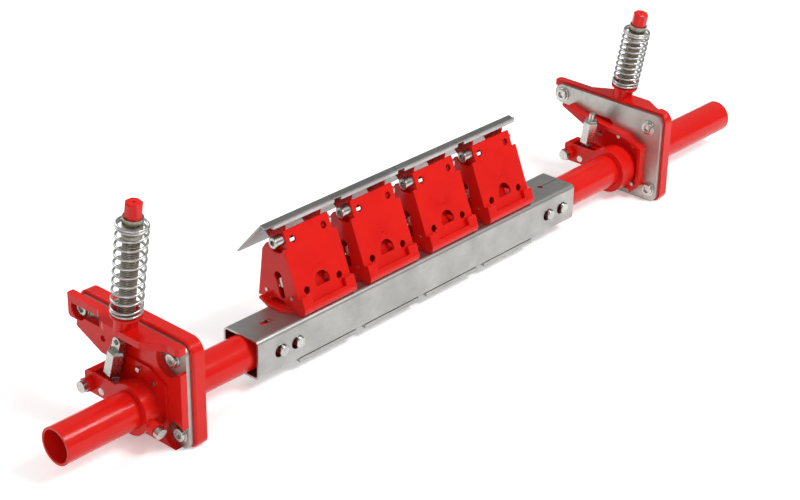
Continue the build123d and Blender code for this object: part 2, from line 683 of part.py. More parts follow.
def below_strip(depth):
    """Point below the front edge of the strip at a depth."""
    turn = math.radians(BLADE_STRIP_DROP)
    front = blade_profile()[0]
    return (front[0] + depth * math.sin(turn), front[1] - depth * math.cos(turn))


def make_blade(centre_x):
    """Stainless blade: narrow top strip and long rear ramp, bent from one sheet."""
    front, ridge, end = blade_profile()
    points = [
        front,
        ridge,
        end,
        below_ramp(BLADE_RAMP - BLADE_SHEET, BLADE_SHEET),
        ridge_below(BLADE_SHEET),
        below_strip(BLADE_SHEET),
    ]
    left = centre_x + BLADE_SHIFT - BLADE_LENGTH / 2
    return plate_yz(points, [0] * len(points), left, left + BLADE_LENGTH)


def tip_bar_front():
    """Y of the tip bar's front face, which stands just in front of the rocker."""
    return ridge_below(BLADE_SHEET)[0] - SIDE_GAP - TIP_DEPTH


def make_tip_bar(centre_x):
    """Light strip under the blade's front edge, its right end slanted and clear of the next blade."""
    front_y = tip_bar_front()
    left = centre_x - TIP_LENGTH / 2
    right = centre_x + TIP_LENGTH / 2
    top_front = on_strip_underside(front_y)
    top_rear = on_strip_underside(front_y + TIP_DEPTH)
    points = [
        (front_y, top_front),
        (front_y + TIP_DEPTH, top_rear),
        (front_y + TIP_DEPTH, top_front - TIP_HEIGHT),
        (front_y, top_front - TIP_HEIGHT),
    ]
    bar = plate_yz(points, [0, 0, 0, 0], left, right)
    wedge = [
        (right - TIP_CHAMFER, front_y - 1),
        (right + 1, front_y - 1),
        (right + 1, front_y + TIP_DEPTH),
    ]
    bar -= extrude(Plane.XY.offset(top_front - 2 * TIP_HEIGHT) * Polygon(*wedge, align=None),
                   amount=4 * TIP_HEIGHT)
    next_blade = centre_x + MODULE_PITCH + BLADE_SHIFT - BLADE_LENGTH / 2 - SIDE_GAP
    relief = [
        (front_y - 1, on_strip_underside(front_y - 1) - SIDE_GAP),
        (front_y + TIP_DEPTH - TIP_RELIEF, on_strip_underside(front_y + TIP_DEPTH - TIP_RELIEF) - SIDE_GAP),
        (front_y + TIP_DEPTH - TIP_RELIEF, top_front - 2 * TIP_HEIGHT),
        (front_y + 2 * TIP_DEPTH, top_front - 2 * TIP_HEIGHT),
        (front_y + 2 * TIP_DEPTH, top_front + TIP_HEIGHT),
        (front_y - 1, top_front + TIP_HEIGHT),
    ]
    return bar - plate_yz(relief, [0] * len(relief), next_blade, right + 1)


def on_strip_underside(y):
    """Z of the strip's underside at a Y."""
    start = below_strip(BLADE_SHEET)
    return start[1] + (y - start[0]) * math.tan(math.radians(BLADE_STRIP_DROP))


def make_rocker(centre_x):
    """Blade carrier: two cheeks on the pin, a saddle under the ramp and a hanging arm."""
    half = ROCKER_WIDTH / 2
    under_blade = BLADE_SHEET + ROCKER_SADDLE
    front_top = ridge_below(BLADE_SHEET)
    ramp_slope = math.tan(math.radians(BLADE_RAMP_DROP))
    under_start = below_ramp(0, under_blade)
    front_low = (front_top[0], under_start[1] - (front_top[0] - under_start[0]) * ramp_slope)
    hub = ROCKER_HUB / 2
    cheek_points = [
        on_plate(ROCKER_BAR_LOW, ROCKER_ARM_BEHIND),
        on_plate(PIN_ALONG_PLATE - hub, PIN_BEHIND_PLATE - hub),
        on_plate(PIN_ALONG_PLATE + hub, PIN_BEHIND_PLATE - hub),
        on_plate(PIN_ALONG_PLATE + hub, PIN_BEHIND_PLATE),
        (front_top[0], front_low[1]),
        front_top,
        below_ramp(ROCKER_SADDLE_LENGTH, BLADE_SHEET),
        below_ramp(ROCKER_SADDLE_LENGTH, 2 * under_blade),
        on_plate(ROCKER_BAR_LOW, ROCKER_ARM_BEHIND + 3 * ROCKER_ARM),
    ]
    cheek_radii = [0, ROCKER_CORNER, ROCKER_CORNER, 0, 0, 0, 0, ROCKER_CORNER, ROCKER_CORNER]
    rocker = None
    for side in (-1, 1):
        outer = centre_x + side * half
        low_x, high_x = sorted((outer, outer - side * ROCKER_CHEEK))
        cheek = plate_yz(cheek_points, cheek_radii, low_x, high_x)
        rocker = cheek if rocker is None else rocker + cheek
    saddle_points = [
        front_top,
        below_ramp(ROCKER_SADDLE_LENGTH, BLADE_SHEET),
        below_ramp(ROCKER_SADDLE_LENGTH, under_blade),
        front_low,
    ]
    rocker += plate_yz(saddle_points, [0] * len(saddle_points), centre_x - half, centre_x + half)
    rear = ROCKER_ARM_BEHIND + ROCKER_ARM
    arm_plane = front_plane(centre_x, rear)
    bar_middle = (ROCKER_BAR_LOW + ROCKER_BAR_HIGH) / 2
    bar = Pos(0, bar_middle) * Rectangle(ROCKER_WIDTH, ROCKER_BAR_HIGH - ROCKER_BAR_LOW)
    arm_middle = (ROCKER_ARM_FOOT + ROCKER_BAR_HIGH) / 2
    arm = Pos(0, arm_middle) * Rectangle(ROCKER_ARM_WIDTH, ROCKER_BAR_HIGH - ROCKER_ARM_FOOT)
    rocker += extrude(arm_plane * (bar + arm), amount=ROCKER_ARM)
    bore = rod_x(centre_x - half - 1, centre_x + half + 1, PIN_Y, PIN_Z, PIN_DIAMETER / 2 + RUNNING_FIT)
    return rocker - bore


def make_pin(centre_x):
    """Pivot pin with a socket head on the left and a nut on the right."""
    left = centre_x - EAR_OUTER_X
    right = centre_x + EAR_OUTER_X
    pin = rod_x(left - PIN_HEAD_LENGTH, right + PIN_NUT_LENGTH, PIN_Y, PIN_Z, PIN_DIAMETER / 2)
    head = rod_x(left - PIN_HEAD_LENGTH, left - RUNNING_FIT, PIN_Y, PIN_Z, PIN_HEAD / 2)
    head = chamfer(head.faces().sort_by(Axis.X)[0].edges(), PIN_HEAD_CHAMFER)
    axis_plane = Plane(origin=(0, PIN_Y, PIN_Z), x_dir=(0, 1, 0), z_dir=(1, 0, 0))
    nut = prism_along(axis_plane, right + RUNNING_FIT, right + PIN_NUT_LENGTH, PIN_NUT_FLATS)
    outer_face = left - PIN_HEAD_LENGTH
    socket = prism_along(axis_plane, outer_face - 1, outer_face + PIN_SOCKET_DEPTH, PIN_SOCKET)
    return pin + head + nut - socket


def make_buffers():
    """Rubber rollers on the cross bolts and pads behind the front plates."""
    rubbers = []
    for centre_x in MODULE_CENTRES:
        start = centre_x - BUFFER_ROLLER_LENGTH / 2
        end = centre_x + BUFFER_ROLLER_LENGTH / 2
        roller = rod_x(start, end, CROSS_BOLT_Y, CROSS_BOLT_Z, BUFFER_ROLLER / 2)
        rubbers.append(roller - rod_x(start - 1, end + 1, CROSS_BOLT_Y, CROSS_BOLT_Z, CROSS_BOLT / 2))
        pad_middle = ROCKER_ARM_FOOT + BUFFER_PAD_HEIGHT / 2
        pad = Pos(0, pad_middle) * Rectangle(ROCKER_ARM_WIDTH, BUFFER_PAD_HEIGHT)
        rubbers.append(extrude(front_plane(centre_x, HOUSING_SHEET + BUFFER_PAD) * pad, amount=BUFFER_PAD))
    return Compound(rubbers)


def make_module_bolts():
    """Cross bolts through the housings and the rivets on their side plates."""
    bolts = []
    half = HOUSING_WIDTH / 2
    for centre_x in MODULE_CENTRES:
        inner_left = centre_x - half + HOUSING_SHEET
        inner_right = centre_x + half - HOUSING_SHEET
        bolt = rod_x(inner_left, inner_right, CROSS_BOLT_Y, CROSS_BOLT_Z, CROSS_BOLT / 2)
        for start, end in (
            (inner_left, inner_left + CROSS_BOLT_HEAD_LENGTH),
            (inner_right - CROSS_BOLT_HEAD_LENGTH, inner_right),
        ):
            bolt += rod_x(start, end, CROSS_BOLT_Y, CROSS_BOLT_Z, CROSS_BOLT_HEAD / 2)
        bolts.append(bolt)
        for side in (-1, 1):
            face_x = centre_x + side * half
            head_x = face_x + side * RIVET_HEAD
            for rivet_y, rivet_up in ((RIVET_REAR_Y, RIVET_REAR_UP), (RIVET_FRONT_Y, RIVET_FRONT_UP)):
                bolts.append(rod_x(face_x, head_x, rivet_y, CARRIER_TOP + rivet_up, RIVET / 2))
    return Compound(bolts)


# Mount plates, drawn in the mount's own frame
def plate_outline(rim, leg_rear_y):
    """Slide plate outline grown by a rim, with its leg reaching to a given Y."""
    return [
        (PLATE_FRONT_Y - rim, PLATE_BOTTOM),
        (leg_rear_y, PLATE_BOTTOM),
        (leg_rear_y, PLATE_ARM_LOW - rim),
        (PLATE_ARM_END_Y + rim, PLATE_ARM_LOW - rim),
        (PLATE_ARM_END_Y + rim, PLATE_TOP + rim),
        (PLATE_FRONT_Y - rim, PLATE_TOP + rim),
    ]


def plate_radii(rim):
    """Corner radii that go with plate_outline."""
    arm = PLATE_ARM_ROUND + rim
    return [PLATE_CORNER, PLATE_FOOT_ROUND, PLATE_INNER_ROUND, arm, arm, PLATE_CORNER + rim]


def mount_bolt_cutters(start_x, end_x):
    """Holes for the three mounting bolts."""
    return [rod_x(start_x, end_x, y, z, MOUNT_BOLT / 2) for y, z in (BOLT_A, BOLT_B, BOLT_C)]


def make_slide_plate():
    """Stainless slide plate, open behind the tube so that it can be slid over it."""
    plate = plate_yz(plate_outline(0, PLATE_LEG_REAR_Y), plate_radii(0), 0, SLIDE_PLATE)
    plate -= rod_x(-1, SLIDE_PLATE + 1, 0, 0, BUSH_RADIUS + SEAT_GAP)
    for cutter in mount_bolt_cutters(-1, SLIDE_PLATE + 1):
        plate -= cutter
    return plate


def left_web():
    """Web of the left bracket, cut away round its three bolts."""
    web = plate_yz(plate_outline(0, BRACKET_LEG_REAR_Y), plate_radii(0), -BRACKET_WEB, 0)
    arm_end = [
        (BOLT_A[0], PLATE_ARM_LOW),
        (PLATE_ARM_END_Y + BRACKET_ARM_BEYOND, PLATE_ARM_LOW),
        (PLATE_ARM_END_Y + BRACKET_ARM_BEYOND, BRACKET_TOP),
        (BOLT_A[0], BRACKET_TOP),
    ]
    web += plate_yz(arm_end, [0, GUSSET_TIP_ROUND, GUSSET_TIP_ROUND, 0], -BRACKET_WEB, 0)
    for y, z in (BOLT_B, BOLT_C):
        web -= rod_x(-BRACKET_WEB - 1, 1, y, z, POCKET_RADIUS)
    web -= box_between((-BRACKET_WEB - 1, PLATE_FRONT_Y - 1, PLATE_BOTTOM - 1),
                       (1, BOLT_C[0], BOLT_C[1]))
    web -= box_between((-BRACKET_WEB - 1, PLATE_FRONT_Y - 1, BOLT_B[1] - POCKET_RADIUS / 2),
                       (1, BOLT_B[0], BOLT_B[1] + POCKET_RADIUS))
    return web


def right_web():
    """Web of the right bracket, which shows as a rim round the slide plate and is thick in front."""
    outline = plate_outline(BRACKET_RIM, BRACKET_LEG_REAR_Y)
    web = plate_yz(outline, plate_radii(BRACKET_RIM), -BRACKET_WEB, 0)
    thick = plate_yz(outline, plate_radii(BRACKET_RIM), -BRACKET_FRONT_RIB_DEPTH, 0)
    front = box_between((-BRACKET_FRONT_RIB_DEPTH, PLATE_FRONT_Y - BRACKET_RIM, PLATE_BOTTOM),
                        (0, PLATE_FRONT_Y + BRACKET_FRONT_RIB, BRACKET_TOP))
    return web + (thick & front)


def cut_arm_pocket(bracket):
    """Bracket with the opening round its rear bolt, through which the slide plate shows."""
    bracket -= rod_x(-BRACKET_WEB - 1, 1, *BOLT_A, ARM_POCKET_RADIUS)
    return bracket - box_between((-BRACKET_WEB - 1, ARM_POCKET_FRONT_Y, ARM_POCKET_LOW),
                                 (1, BOLT_A[0], BRACKET_TOP - BRACKET_FLANGE))


def make_bracket(side):
    """Red bracket: web on the slide plate, gusset, wide top flange and spindle boss."""
    web = left_web() if side == "left" else right_web()
    gusset = [
        (GUSSET_REAR_Y, GUSSET_REAR_Z),
        (PLATE_ARM_END_Y - PLATE_ARM_ROUND, PLATE_ARM_LOW + BRACKET_FLANGE),
        (BRACKET_LEG_REAR_Y, PLATE_ARM_LOW + BRACKET_FLANGE),
        (BRACKET_LEG_REAR_Y, GUSSET_TIP_Z),
        (GUSSET_ROOT_Y, GUSSET_TIP_Z),
        (GUSSET_TIP_Y, GUSSET_TIP_Z),
    ]
    web += plate_yz(gusset, [GUSSET_REAR_ROUND, 0, 0, 0, 0, GUSSET_TIP_ROUND], -BRACKET_WEB, 0)
    flange_low = BRACKET_TOP - BRACKET_FLANGE
    rear_narrow_y = BRACKET_FLANGE_REAR_Y + BRACKET_TAPER
    front_narrow_y = BRACKET_FLANGE_FRONT_Y - BRACKET_TAPER
    plan = [
        (0, PLATE_FRONT_Y),
        (0, PLATE_ARM_END_Y + BRACKET_ARM_BEYOND),
        (-BRACKET_FLANGE_NARROW, PLATE_ARM_END_Y + BRACKET_ARM_BEYOND),
        (-BRACKET_FLANGE_NARROW, rear_narrow_y),
        (-BRACKET_FLANGE_REACH, BRACKET_FLANGE_REAR_Y),
        (-BRACKET_FLANGE_REACH, BRACKET_FLANGE_FRONT_Y),
        (-BRACKET_FLANGE_NARROW, front_narrow_y),
        (-BRACKET_FLANGE_NARROW, PLATE_FRONT_Y),
    ]
    radii = [
        0,
        0,
        BRACKET_END_ROUND,
        BRACKET_NECK_ROUND,
        BRACKET_NECK_ROUND,
        BRACKET_FRONT_ROUND,
        BRACKET_NECK_ROUND,
        BRACKET_END_ROUND,
    ]
    flange = extrude(Plane.XY.offset(flange_low) * outline_face(plan, radii), amount=BRACKET_FLANGE)
    bracket = web + flange
    if side == "left":
        bracket = cut_arm_pocket(bracket)
    bracket += rod_along(spindle_plane(), -BRACKET_FLANGE / 2, BOSS_HEIGHT, BOSS_DIAMETER / 2)
    bracket += rod_along(spindle_plane(), BOSS_HEIGHT - SPRING_SEAT_THICKNESS, BOSS_HEIGHT, SPRING_SEAT / 2)
    if side == "left":
        for y, z in (BOLT_A, BOLT_B, BOLT_C):
            bracket -= rod_x(-BRACKET_WEB, 1, y, z, WASHER / 2 + SIDE_GAP)
    bracket -= rod_x(-BRACKET_WEB - 1, 1, 0, 0, BUSH_RADIUS)
    spindle_bore = SPINDLE_BODY / 2 + SLIDE_FIT
    bracket -= rod_along(spindle_plane(), -3 * BRACKET_FLANGE, 2 * BOSS_HEIGHT, spindle_bore)
    bracket -= rod_x(-BRACKET_WEB - 1, 1, GUSSET_HOLE_Y, GUSSET_HOLE_Z, GUSSET_HOLE / 2)
    return bracket


def flange_points():
    """Bearing flange outline, a rectangle with its corners cut."""
    cut = FLANGE_CORNER
    return [
        (FLANGE_FRONT_Y + cut, FLANGE_BOTTOM),
        (FLANGE_REAR_Y - cut, FLANGE_BOTTOM),
        (FLANGE_REAR_Y, FLANGE_BOTTOM + cut),
        (FLANGE_REAR_Y, FLANGE_TOP),
        (FLANGE_FRONT_Y + 2 * cut, FLANGE_TOP),
        (FLANGE_FRONT_Y, FLANGE_TOP - cut),
        (FLANGE_FRONT_Y, FLANGE_BOTTOM + cut),
    ]


def outer_ring_end():
    """X of the outboard end of a mount's outer bearing ring."""
    return -BRACKET_WEB - FLANGE_PLATE - OUTER_RING_LENGTH


def inner_ring_end():
    """X of the inboard end of a mount's inner bearing ring."""
    return SLIDE_PLATE + INNER_FLANGE_PLATE + INNER_RING_LENGTH


def make_outer_flange():
    """Bearing flange on the bracket's outboard face, with a round ring."""
    points = flange_points()
    flange = plate_yz(points, [FLANGE_ROUND] * len(points), -BRACKET_WEB - FLANGE_PLATE, -BRACKET_WEB)
    ring_end = outer_ring_end()
    flange += rod_x(ring_end, -BRACKET_WEB - FLANGE_PLATE, 0, 0, FLANGE_RING / 2)
    return flange - rod_x(ring_end - 1, -BRACKET_WEB + 1, 0, 0, BUSH_RADIUS)


def make_inner_flange():
    """Bearing flange on the slide plate's inboard face, with a raised rib along its edge."""
    points = flange_points()
    body = [
        points[0],
        points[1],
        points[2],
        (FLANGE_REAR_Y, FLANGE_TOP - RIB_THICKNESS),
        (RIB_KNEE_Y, RIB_KNEE_Z - RIB_THICKNESS),
        (RIB_REAR_Y, RIB_REAR_Z - RIB_THICKNESS),
        (RIB_REAR_Y, RIB_REAR_Z),
        (RIB_KNEE_Y, RIB_KNEE_Z),
        points[4],
        points[5],
        points[6],
    ]
    face_x = SLIDE_PLATE
    corner = [FLANGE_ROUND] * 3
    tip = [RIB_END_ROUND] * 2
    flange = plate_yz(body, corner + [0, 0] + tip + [0] + corner, face_x, face_x + INNER_FLANGE_PLATE)
    thick = RIB_THICKNESS
    rib = [
        (RIB_REAR_Y, RIB_REAR_Z),
        (RIB_KNEE_Y, RIB_KNEE_Z),
        points[4],
        points[5],
        points[6],
        points[0],
        (points[0][0] + thick / 2, points[0][1] + thick),
        (points[6][0] + thick, points[6][1] + thick / 2),
        (points[5][0] + thick, points[5][1] - thick / 2),
        (points[4][0] + thick / 2, points[4][1] - thick),
        (RIB_KNEE_Y, RIB_KNEE_Z - thick),
        (RIB_REAR_Y, RIB_REAR_Z - thick),
    ]
    rib_radii = [RIB_END_ROUND, 0] + corner + [0] * 6 + [RIB_END_ROUND]
    flange += plate_yz(rib, rib_radii, face_x, face_x + RIB_DEPTH)
    flange += rod_x(face_x, inner_ring_end(), 0, 0, FLANGE_RING / 2)
    return flange - rod_x(face_x - 1, inner_ring_end() + 1, 0, 0, BUSH_RADIUS)


def make_clamp_plate():
    """Thick plate inboard of the left slide plate, with the same outline."""
    outline = plate_outline(CLAMP_PLATE_RIM, BRACKET_LEG_REAR_Y)
    plate = plate_yz(outline, plate_radii(CLAMP_PLATE_RIM), SLIDE_PLATE, SLIDE_PLATE + CLAMP_PLATE)
    plate = chamfer(plate.faces().sort_by(Axis.X)[0].outer_wire().edges(), CLAMP_PLATE_CHAMFER)
    plate -= rod_x(SLIDE_PLATE - 1, SLIDE_PLATE + CLAMP_PLATE + 1, 0, 0, BUSH_RADIUS)
    for cutter in mount_bolt_cutters(SLIDE_PLATE - 1, SLIDE_PLATE + CLAMP_PLATE + 1):
        plate -= cutter
    return plate


def make_bush(start_x, end_x):
    """Plain bearing bush round the tube."""
    return rod_x(start_x, end_x, 0, 0, BUSH_RADIUS) - rod_x(start_x, end_x, 0, 0, TUBE_RADIUS + RUNNING_FIT)


def make_mount_bolts(outboard_heads):
    """Three mounting bolts; their heads stand on the slide plate on the side that faces the viewer."""
    bolts = []
    far = SLIDE_PLATE + CLAMP_PLATE if outboard_heads else SLIDE_PLATE
    for y, z in (BOLT_A, BOLT_B, BOLT_C):
        if outboard_heads:
            washer = rod_x(-WASHER_THICKNESS, 0, y, z, WASHER / 2)
            head = rod_x(-WASHER_THICKNESS - MOUNT_BOLT_PROUD, -WASHER_THICKNESS, y, z, MOUNT_BOLT_HEAD / 2)
            bolts.append(washer + head + rod_x(0, far, y, z, MOUNT_BOLT / 2))
        else:
            washer = rod_x(far, far + WASHER_THICKNESS, y, z, WASHER / 2)
            start = far + WASHER_THICKNESS
            head = rod_x(start, start + MOUNT_BOLT_PROUD, y, z, MOUNT_BOLT_HEAD / 2)
            bolts.append(washer + head + rod_x(0, far, y, z, MOUNT_BOLT / 2))
    plane = spindle_plane()
    behind = Pos(0, BOSS_BOLT_BEHIND / SPINDLE_COS, 0) * Plane(origin=plane.origin, z_dir=(0, 0, 1))
    bolts.append(prism_along(behind, 0, BOSS_BOLT_HEIGHT, BOSS_BOLT_FLATS))
    return bolts


def make_flange_screws(face_x, outward):
    """Two small screws and a grease nipple on a bearing flange."""
    screws = []
    for y, z in (FLANGE_SCREW_TOP, FLANGE_SCREW_LOW):
        screws.append(rod_x(face_x, face_x + outward * FLANGE_SCREW_PROUD, y, z, FLANGE_SCREW / 2))
    screws.append(rod_x(face_x, face_x + outward * NIPPLE_PROUD, *NIPPLE, NIPPLE_DIAMETER / 2))
    return screws


# Lever collar and its fasteners
def set_bolt_plane(centre_x, angle):
    """Plane across the set bolt's axis at the tube centre; the angle turns it down from the front."""
    turn = math.radians(angle)
    return Plane(origin=(centre_x, 0, 0), x_dir=(1, 0, 0), z_dir=(0, -math.cos(turn), -math.sin(turn)))


def lever_profile(start_y):
    """Side outline of the lever arm from a Y to its end."""
    return [
        (start_y, LEVER_BOTTOM),
        (LEVER_END_Y, LEVER_BOTTOM),
        (LEVER_END_Y, LEVER_TOP),
        (start_y, LEVER_TOP),
    ]


def make_lever(low_x, high_x, arm_x, slot_x):
    """Clamp collar from low_x to high_x with a forked lever, which beyond the step reaches arm_x."""
    radii = [0, LEVER_END_ROUND, LEVER_END_ROUND, 0]
    lever = rod_x(low_x, high_x, 0, 0, COLLAR_DIAMETER / 2)
    lever += plate_yz(lever_profile(0), radii, low_x, high_x)
    if arm_x > high_x:
        lever += plate_yz(lever_profile(LEVER_STEP_Y), radii, high_x, arm_x)
    slot_half = LINK_TONGUE / 2 + 1
    lever -= box_between((slot_x - slot_half, FORK_FRONT_Y, LEVER_BOTTOM - 1),
                         (slot_x + slot_half, FORK_REAR_Y, LEVER_TOP + 1))
    relief_half = LINK_FLATS / 2 + 1
    lever -= box_between((slot_x - relief_half, FORK_RELIEF_FRONT_Y, LEVER_TOP - FORK_RELIEF_DEPTH),
                         (slot_x + relief_half, FORK_REAR_Y, LEVER_TOP + 1))
    lever -= rod_x(low_x - 1, high_x + 1, 0, 0, TUBE_RADIUS + SLIDE_FIT)
    return lever - rod_x(low_x - 1, arm_x + 1, CLEVIS_Y, CLEVIS_Z, CLEVIS_PIN / 2)


def with_set_boss(lever, centre_x, angle):
    """Lever with a boss and a hole for its set bolt."""
    plane = set_bolt_plane(centre_x, angle)
    lever += rod_along(plane, TUBE_RADIUS + SIDE_GAP, COLLAR_DIAMETER / 2 + SET_BOSS_PROUD, SET_BOSS / 2)
    return lever - rod_along(plane, 0, COLLAR_DIAMETER, SET_BOLT / 2)


def set_nut_start():
    """Distance of the lock nut from the tube axis, along the set bolt."""
    return COLLAR_DIAMETER / 2 + SET_BOSS_PROUD


def make_set_bolt(centre_x, angle):
    """Set bolt pressing on the tube, with its round head beyond the lock nut."""
    plane = set_bolt_plane(centre_x, angle)
    head_start = set_nut_start() + LOCK_NUT_LENGTH + SET_BOLT_PROUD
    bolt = rod_along(plane, TUBE_RADIUS + SLIDE_FIT, head_start, SET_BOLT / 2)
    return bolt + rod_along(plane, head_start, head_start + SET_BOLT_HEAD_LENGTH, SET_BOLT_HEAD / 2)


def make_set_nut(centre_x, angle):
    """Lock nut of a set bolt."""
    plane = set_bolt_plane(centre_x, angle)
    start = set_nut_start()
    nut = prism_along(plane, start, start + LOCK_NUT_LENGTH, LOCK_NUT)
    return nut - rod_along(plane, start - 1, start + LOCK_NUT_LENGTH + 1, SET_BOLT / 2)


def end_bolt_plane(face_x, outward):
    """Plane on the lever's side face at its end bolt."""
    return Plane(origin=(face_x, END_BOLT_Y, END_BOLT_Z), x_dir=(0, 1, 0), z_dir=(outward, 0, 0))


def make_end_bolt(face_x, outward):
    """End bolt of a lever, with its round head beyond the lock nut."""
    plane = end_bolt_plane(face_x, outward)
    bolt = rod_along(plane, 0, LOCK_NUT_LENGTH, SET_BOLT / 2)
    head_end = LOCK_NUT_LENGTH + SET_BOLT_HEAD_LENGTH
    return bolt + rod_along(plane, LOCK_NUT_LENGTH, head_end, SET_BOLT_HEAD / 2)


def make_end_nut(face_x, outward):
    """Lock nut of a lever's end bolt."""
    plane = end_bolt_plane(face_x, outward)
    nut = prism_along(plane, 0, LOCK_NUT_LENGTH, LOCK_NUT)
    return nut - rod_along(plane, -1, LOCK_NUT_LENGTH + 1, SET_BOLT / 2)


# Spindle, link and spring
def spindle_plane():
    """Plane across the spindle at the top of the bracket flange, Z up along the spindle."""
    return Plane(
        origin=(SPINDLE_INBOARD, SPINDLE_Y_AT_TOP, BRACKET_TOP),
        x_dir=(1, 0, 0),
        z_dir=(0, -SPINDLE_SIN, SPINDLE_COS),
    )


def knuckle_depth():
    """Distance along the spindle from the flange top down to the knuckle."""
    return (BRACKET_TOP - KNUCKLE_Z) / SPINDLE_COS


def cap_start(side):
    """Height of the cap's underside above the flange top, along the spindle."""
    return BOSS_HEIGHT + SEAT_GAP + SPRING_LENGTHS[side] + SLEEVE_ABOVE_SPRING


def make_spindle(side):
    """Spindle with a threaded upper end, a flat lower end and the stub pin that carries the link."""
    plane = spindle_plane()
    round_start = -(BRACKET_FLANGE + 1)
    top = cap_start(side) + CAP_HEIGHT - CAP_CEILING - SPINDLE_SPARE
    step = cap_start(side) - SLEEVE_LENGTH - SPINDLE_STEP_BELOW_SLEEVE
    rod = rod_along(plane, round_start, step, SPINDLE_BODY / 2)
    rod += rod_along(plane, step, top, SPINDLE_DIAMETER / 2)
    depth = knuckle_depth()
    half = TONGUE_THICKNESS / 2
    eye = rod_x(SPINDLE_INBOARD - half, SPINDLE_INBOARD + half, KNUCKLE_Y, KNUCKLE_Z, KNUCKLE_RADIUS)
    flat = plane.offset(-depth) * Box(TONGUE_THICKNESS, 2 * KNUCKLE_RADIUS, depth + round_start,
                                      align=(Align.CENTER, Align.CENTER, Align.MIN))
    stub_end = LINK_INBOARD - TONGUE_THICKNESS / 2 - 1
    stub = rod_x(stub_end, SPINDLE_INBOARD, KNUCKLE_Y, KNUCKLE_Z, KNUCKLE_PIN / 2)
    return rod + eye + flat + stub


def link_plane(centre_x, tilt):
    """Plane across a link at the clevis pin, Z up along the link."""
    turn = math.radians(tilt)
    along = (0, -math.sin(turn), math.cos(turn))
    return Plane(origin=(centre_x, CLEVIS_Y, CLEVIS_Z), x_dir=(1, 0, 0), z_dir=along)


def make_hex_rod(centre_x, tilt, eye_clearance):
    """Hexagonal rod end: eye on the clevis pin, flat tongue and hexagon with chamfered ends."""
    plane = link_plane(centre_x, tilt)
    half = LINK_TONGUE / 2
    eye = rod_x(centre_x - half, centre_x + half, CLEVIS_Y, CLEVIS_Z, LINK_EYE_RADIUS)
    tongue = plane * Box(LINK_TONGUE, LINK_TONGUE_WIDTH, LINK_HEX_FROM,
                         align=(Align.CENTER, Align.CENTER, Align.MIN))
    hexagon = prism_along(plane, LINK_HEX_FROM, LINK_HEX_FROM + LINK_HEX_LENGTH, LINK_FLATS)
    ends = hexagon.faces().filter_by(GeomType.PLANE).sort_by(Axis(plane.origin, plane.z_dir))
    hexagon = chamfer(ends[-1].edges() + ends[0].edges(), LINK_HEX_CHAMFER, LINK_HEX_CHAMFER_INWARD)
    rod = eye + tongue + hexagon
    bore = CLEVIS_PIN / 2 + eye_clearance
    return rod - rod_x(centre_x - half - 1, centre_x + half + 1, CLEVIS_Y, CLEVIS_Z, bore)


def make_stop_rod():
    """Hexagonal rod on the inner lever of the right mount, with a plain round neck."""
    rod = make_hex_rod(STOP_ROD_INBOARD, STOP_ROD_TILT, RUNNING_FIT)
    top = LINK_HEX_FROM + LINK_HEX_LENGTH
    return rod + rod_along(link_plane(STOP_ROD_INBOARD, STOP_ROD_TILT), top - 1, top + STOP_ROD_NECK_LENGTH,
                           STOP_ROD_NECK / 2)


def make_link():
    """Link between the lever's clevis pin and the spindle's stub pin."""
    link = make_hex_rod(LINK_INBOARD, LINK_TILT, LINK_EYE_CLEARANCE)
    plane = link_plane(LINK_INBOARD, LINK_TILT)
    neck_start = LINK_HEX_FROM + LINK_HEX_LENGTH - LINK_NECK_OVERLAP
    neck = plane.offset(neck_start) * Box(TONGUE_THICKNESS, 2 * KNUCKLE_RADIUS, LINK_LENGTH - neck_start,
                                          align=(Align.CENTER, Align.CENTER, Align.MIN))
    half = TONGUE_THICKNESS / 2
    eye = rod_x(LINK_INBOARD - half, LINK_INBOARD + half, KNUCKLE_Y, KNUCKLE_Z, KNUCKLE_RADIUS)
    link = link + neck + eye
    bore = KNUCKLE_PIN / 2 + RUNNING_FIT
    return link - rod_x(LINK_INBOARD - half - 1, LINK_INBOARD + half + 1, KNUCKLE_Y, KNUCKLE_Z, bore)


def make_spring(side):
    """Round-wire compression spring standing on the boss."""
    length = SPRING_LENGTHS[side]
    radius = (SPRING_OUTER - SPRING_WIRE) / 2
    rise = length - SPRING_WIRE
    helix = Helix(pitch=rise / SPRING_TURNS, height=rise, radius=radius)
    start = Plane(origin=helix @ 0, z_dir=helix % 0)
    wire = sweep(start * Circle(SPRING_WIRE / 2), path=helix)
    return spindle_plane().offset(BOSS_HEIGHT + SEAT_GAP + SPRING_WIRE / 2) * wire


def make_sleeve(side):
    """Grey sleeve on the spindle below the cap."""
    end = cap_start(side)
    plane = spindle_plane()
    bore = SPINDLE_DIAMETER / 2 + SLIDE_FIT
    sleeve = rod_along(plane, end - SLEEVE_LENGTH, end, SLEEVE_DIAMETER / 2)
    return sleeve - rod_along(plane, end - SLEEVE_LENGTH - 1, end + 1, bore)


def make_cap(side):
    """Faceted adjusting cap with a small hole in its top."""
    start = cap_start(side)
    plane = spindle_plane()
    cap = prism_along(plane, start, start + CAP_HEIGHT, CAP_FLATS, CAP_SIDES)
    top = cap.faces().sort_by(Axis(plane.origin, plane.z_dir))[-1]
    cap = chamfer(top.edges(), CAP_CHAMFER)
    cap -= rod_along(plane, start - 1, start + CAP_HEIGHT - CAP_CEILING, SPINDLE_DIAMETER / 2 + SLIDE_FIT)
    return cap - rod_along(plane, start, start + CAP_HEIGHT + 1, CAP_HOLE / 2)


# Assembly
def place(shape, side):
    """Move a shape from the mount's own frame to its side; the right mount is the mirror image."""
    if side == "left":
        return Pos(MOUNT_LEFT, 0, 0) * shape
    return Pos(MOUNT_RIGHT, 0, 0) * mirror(shape, about=Plane.YZ)


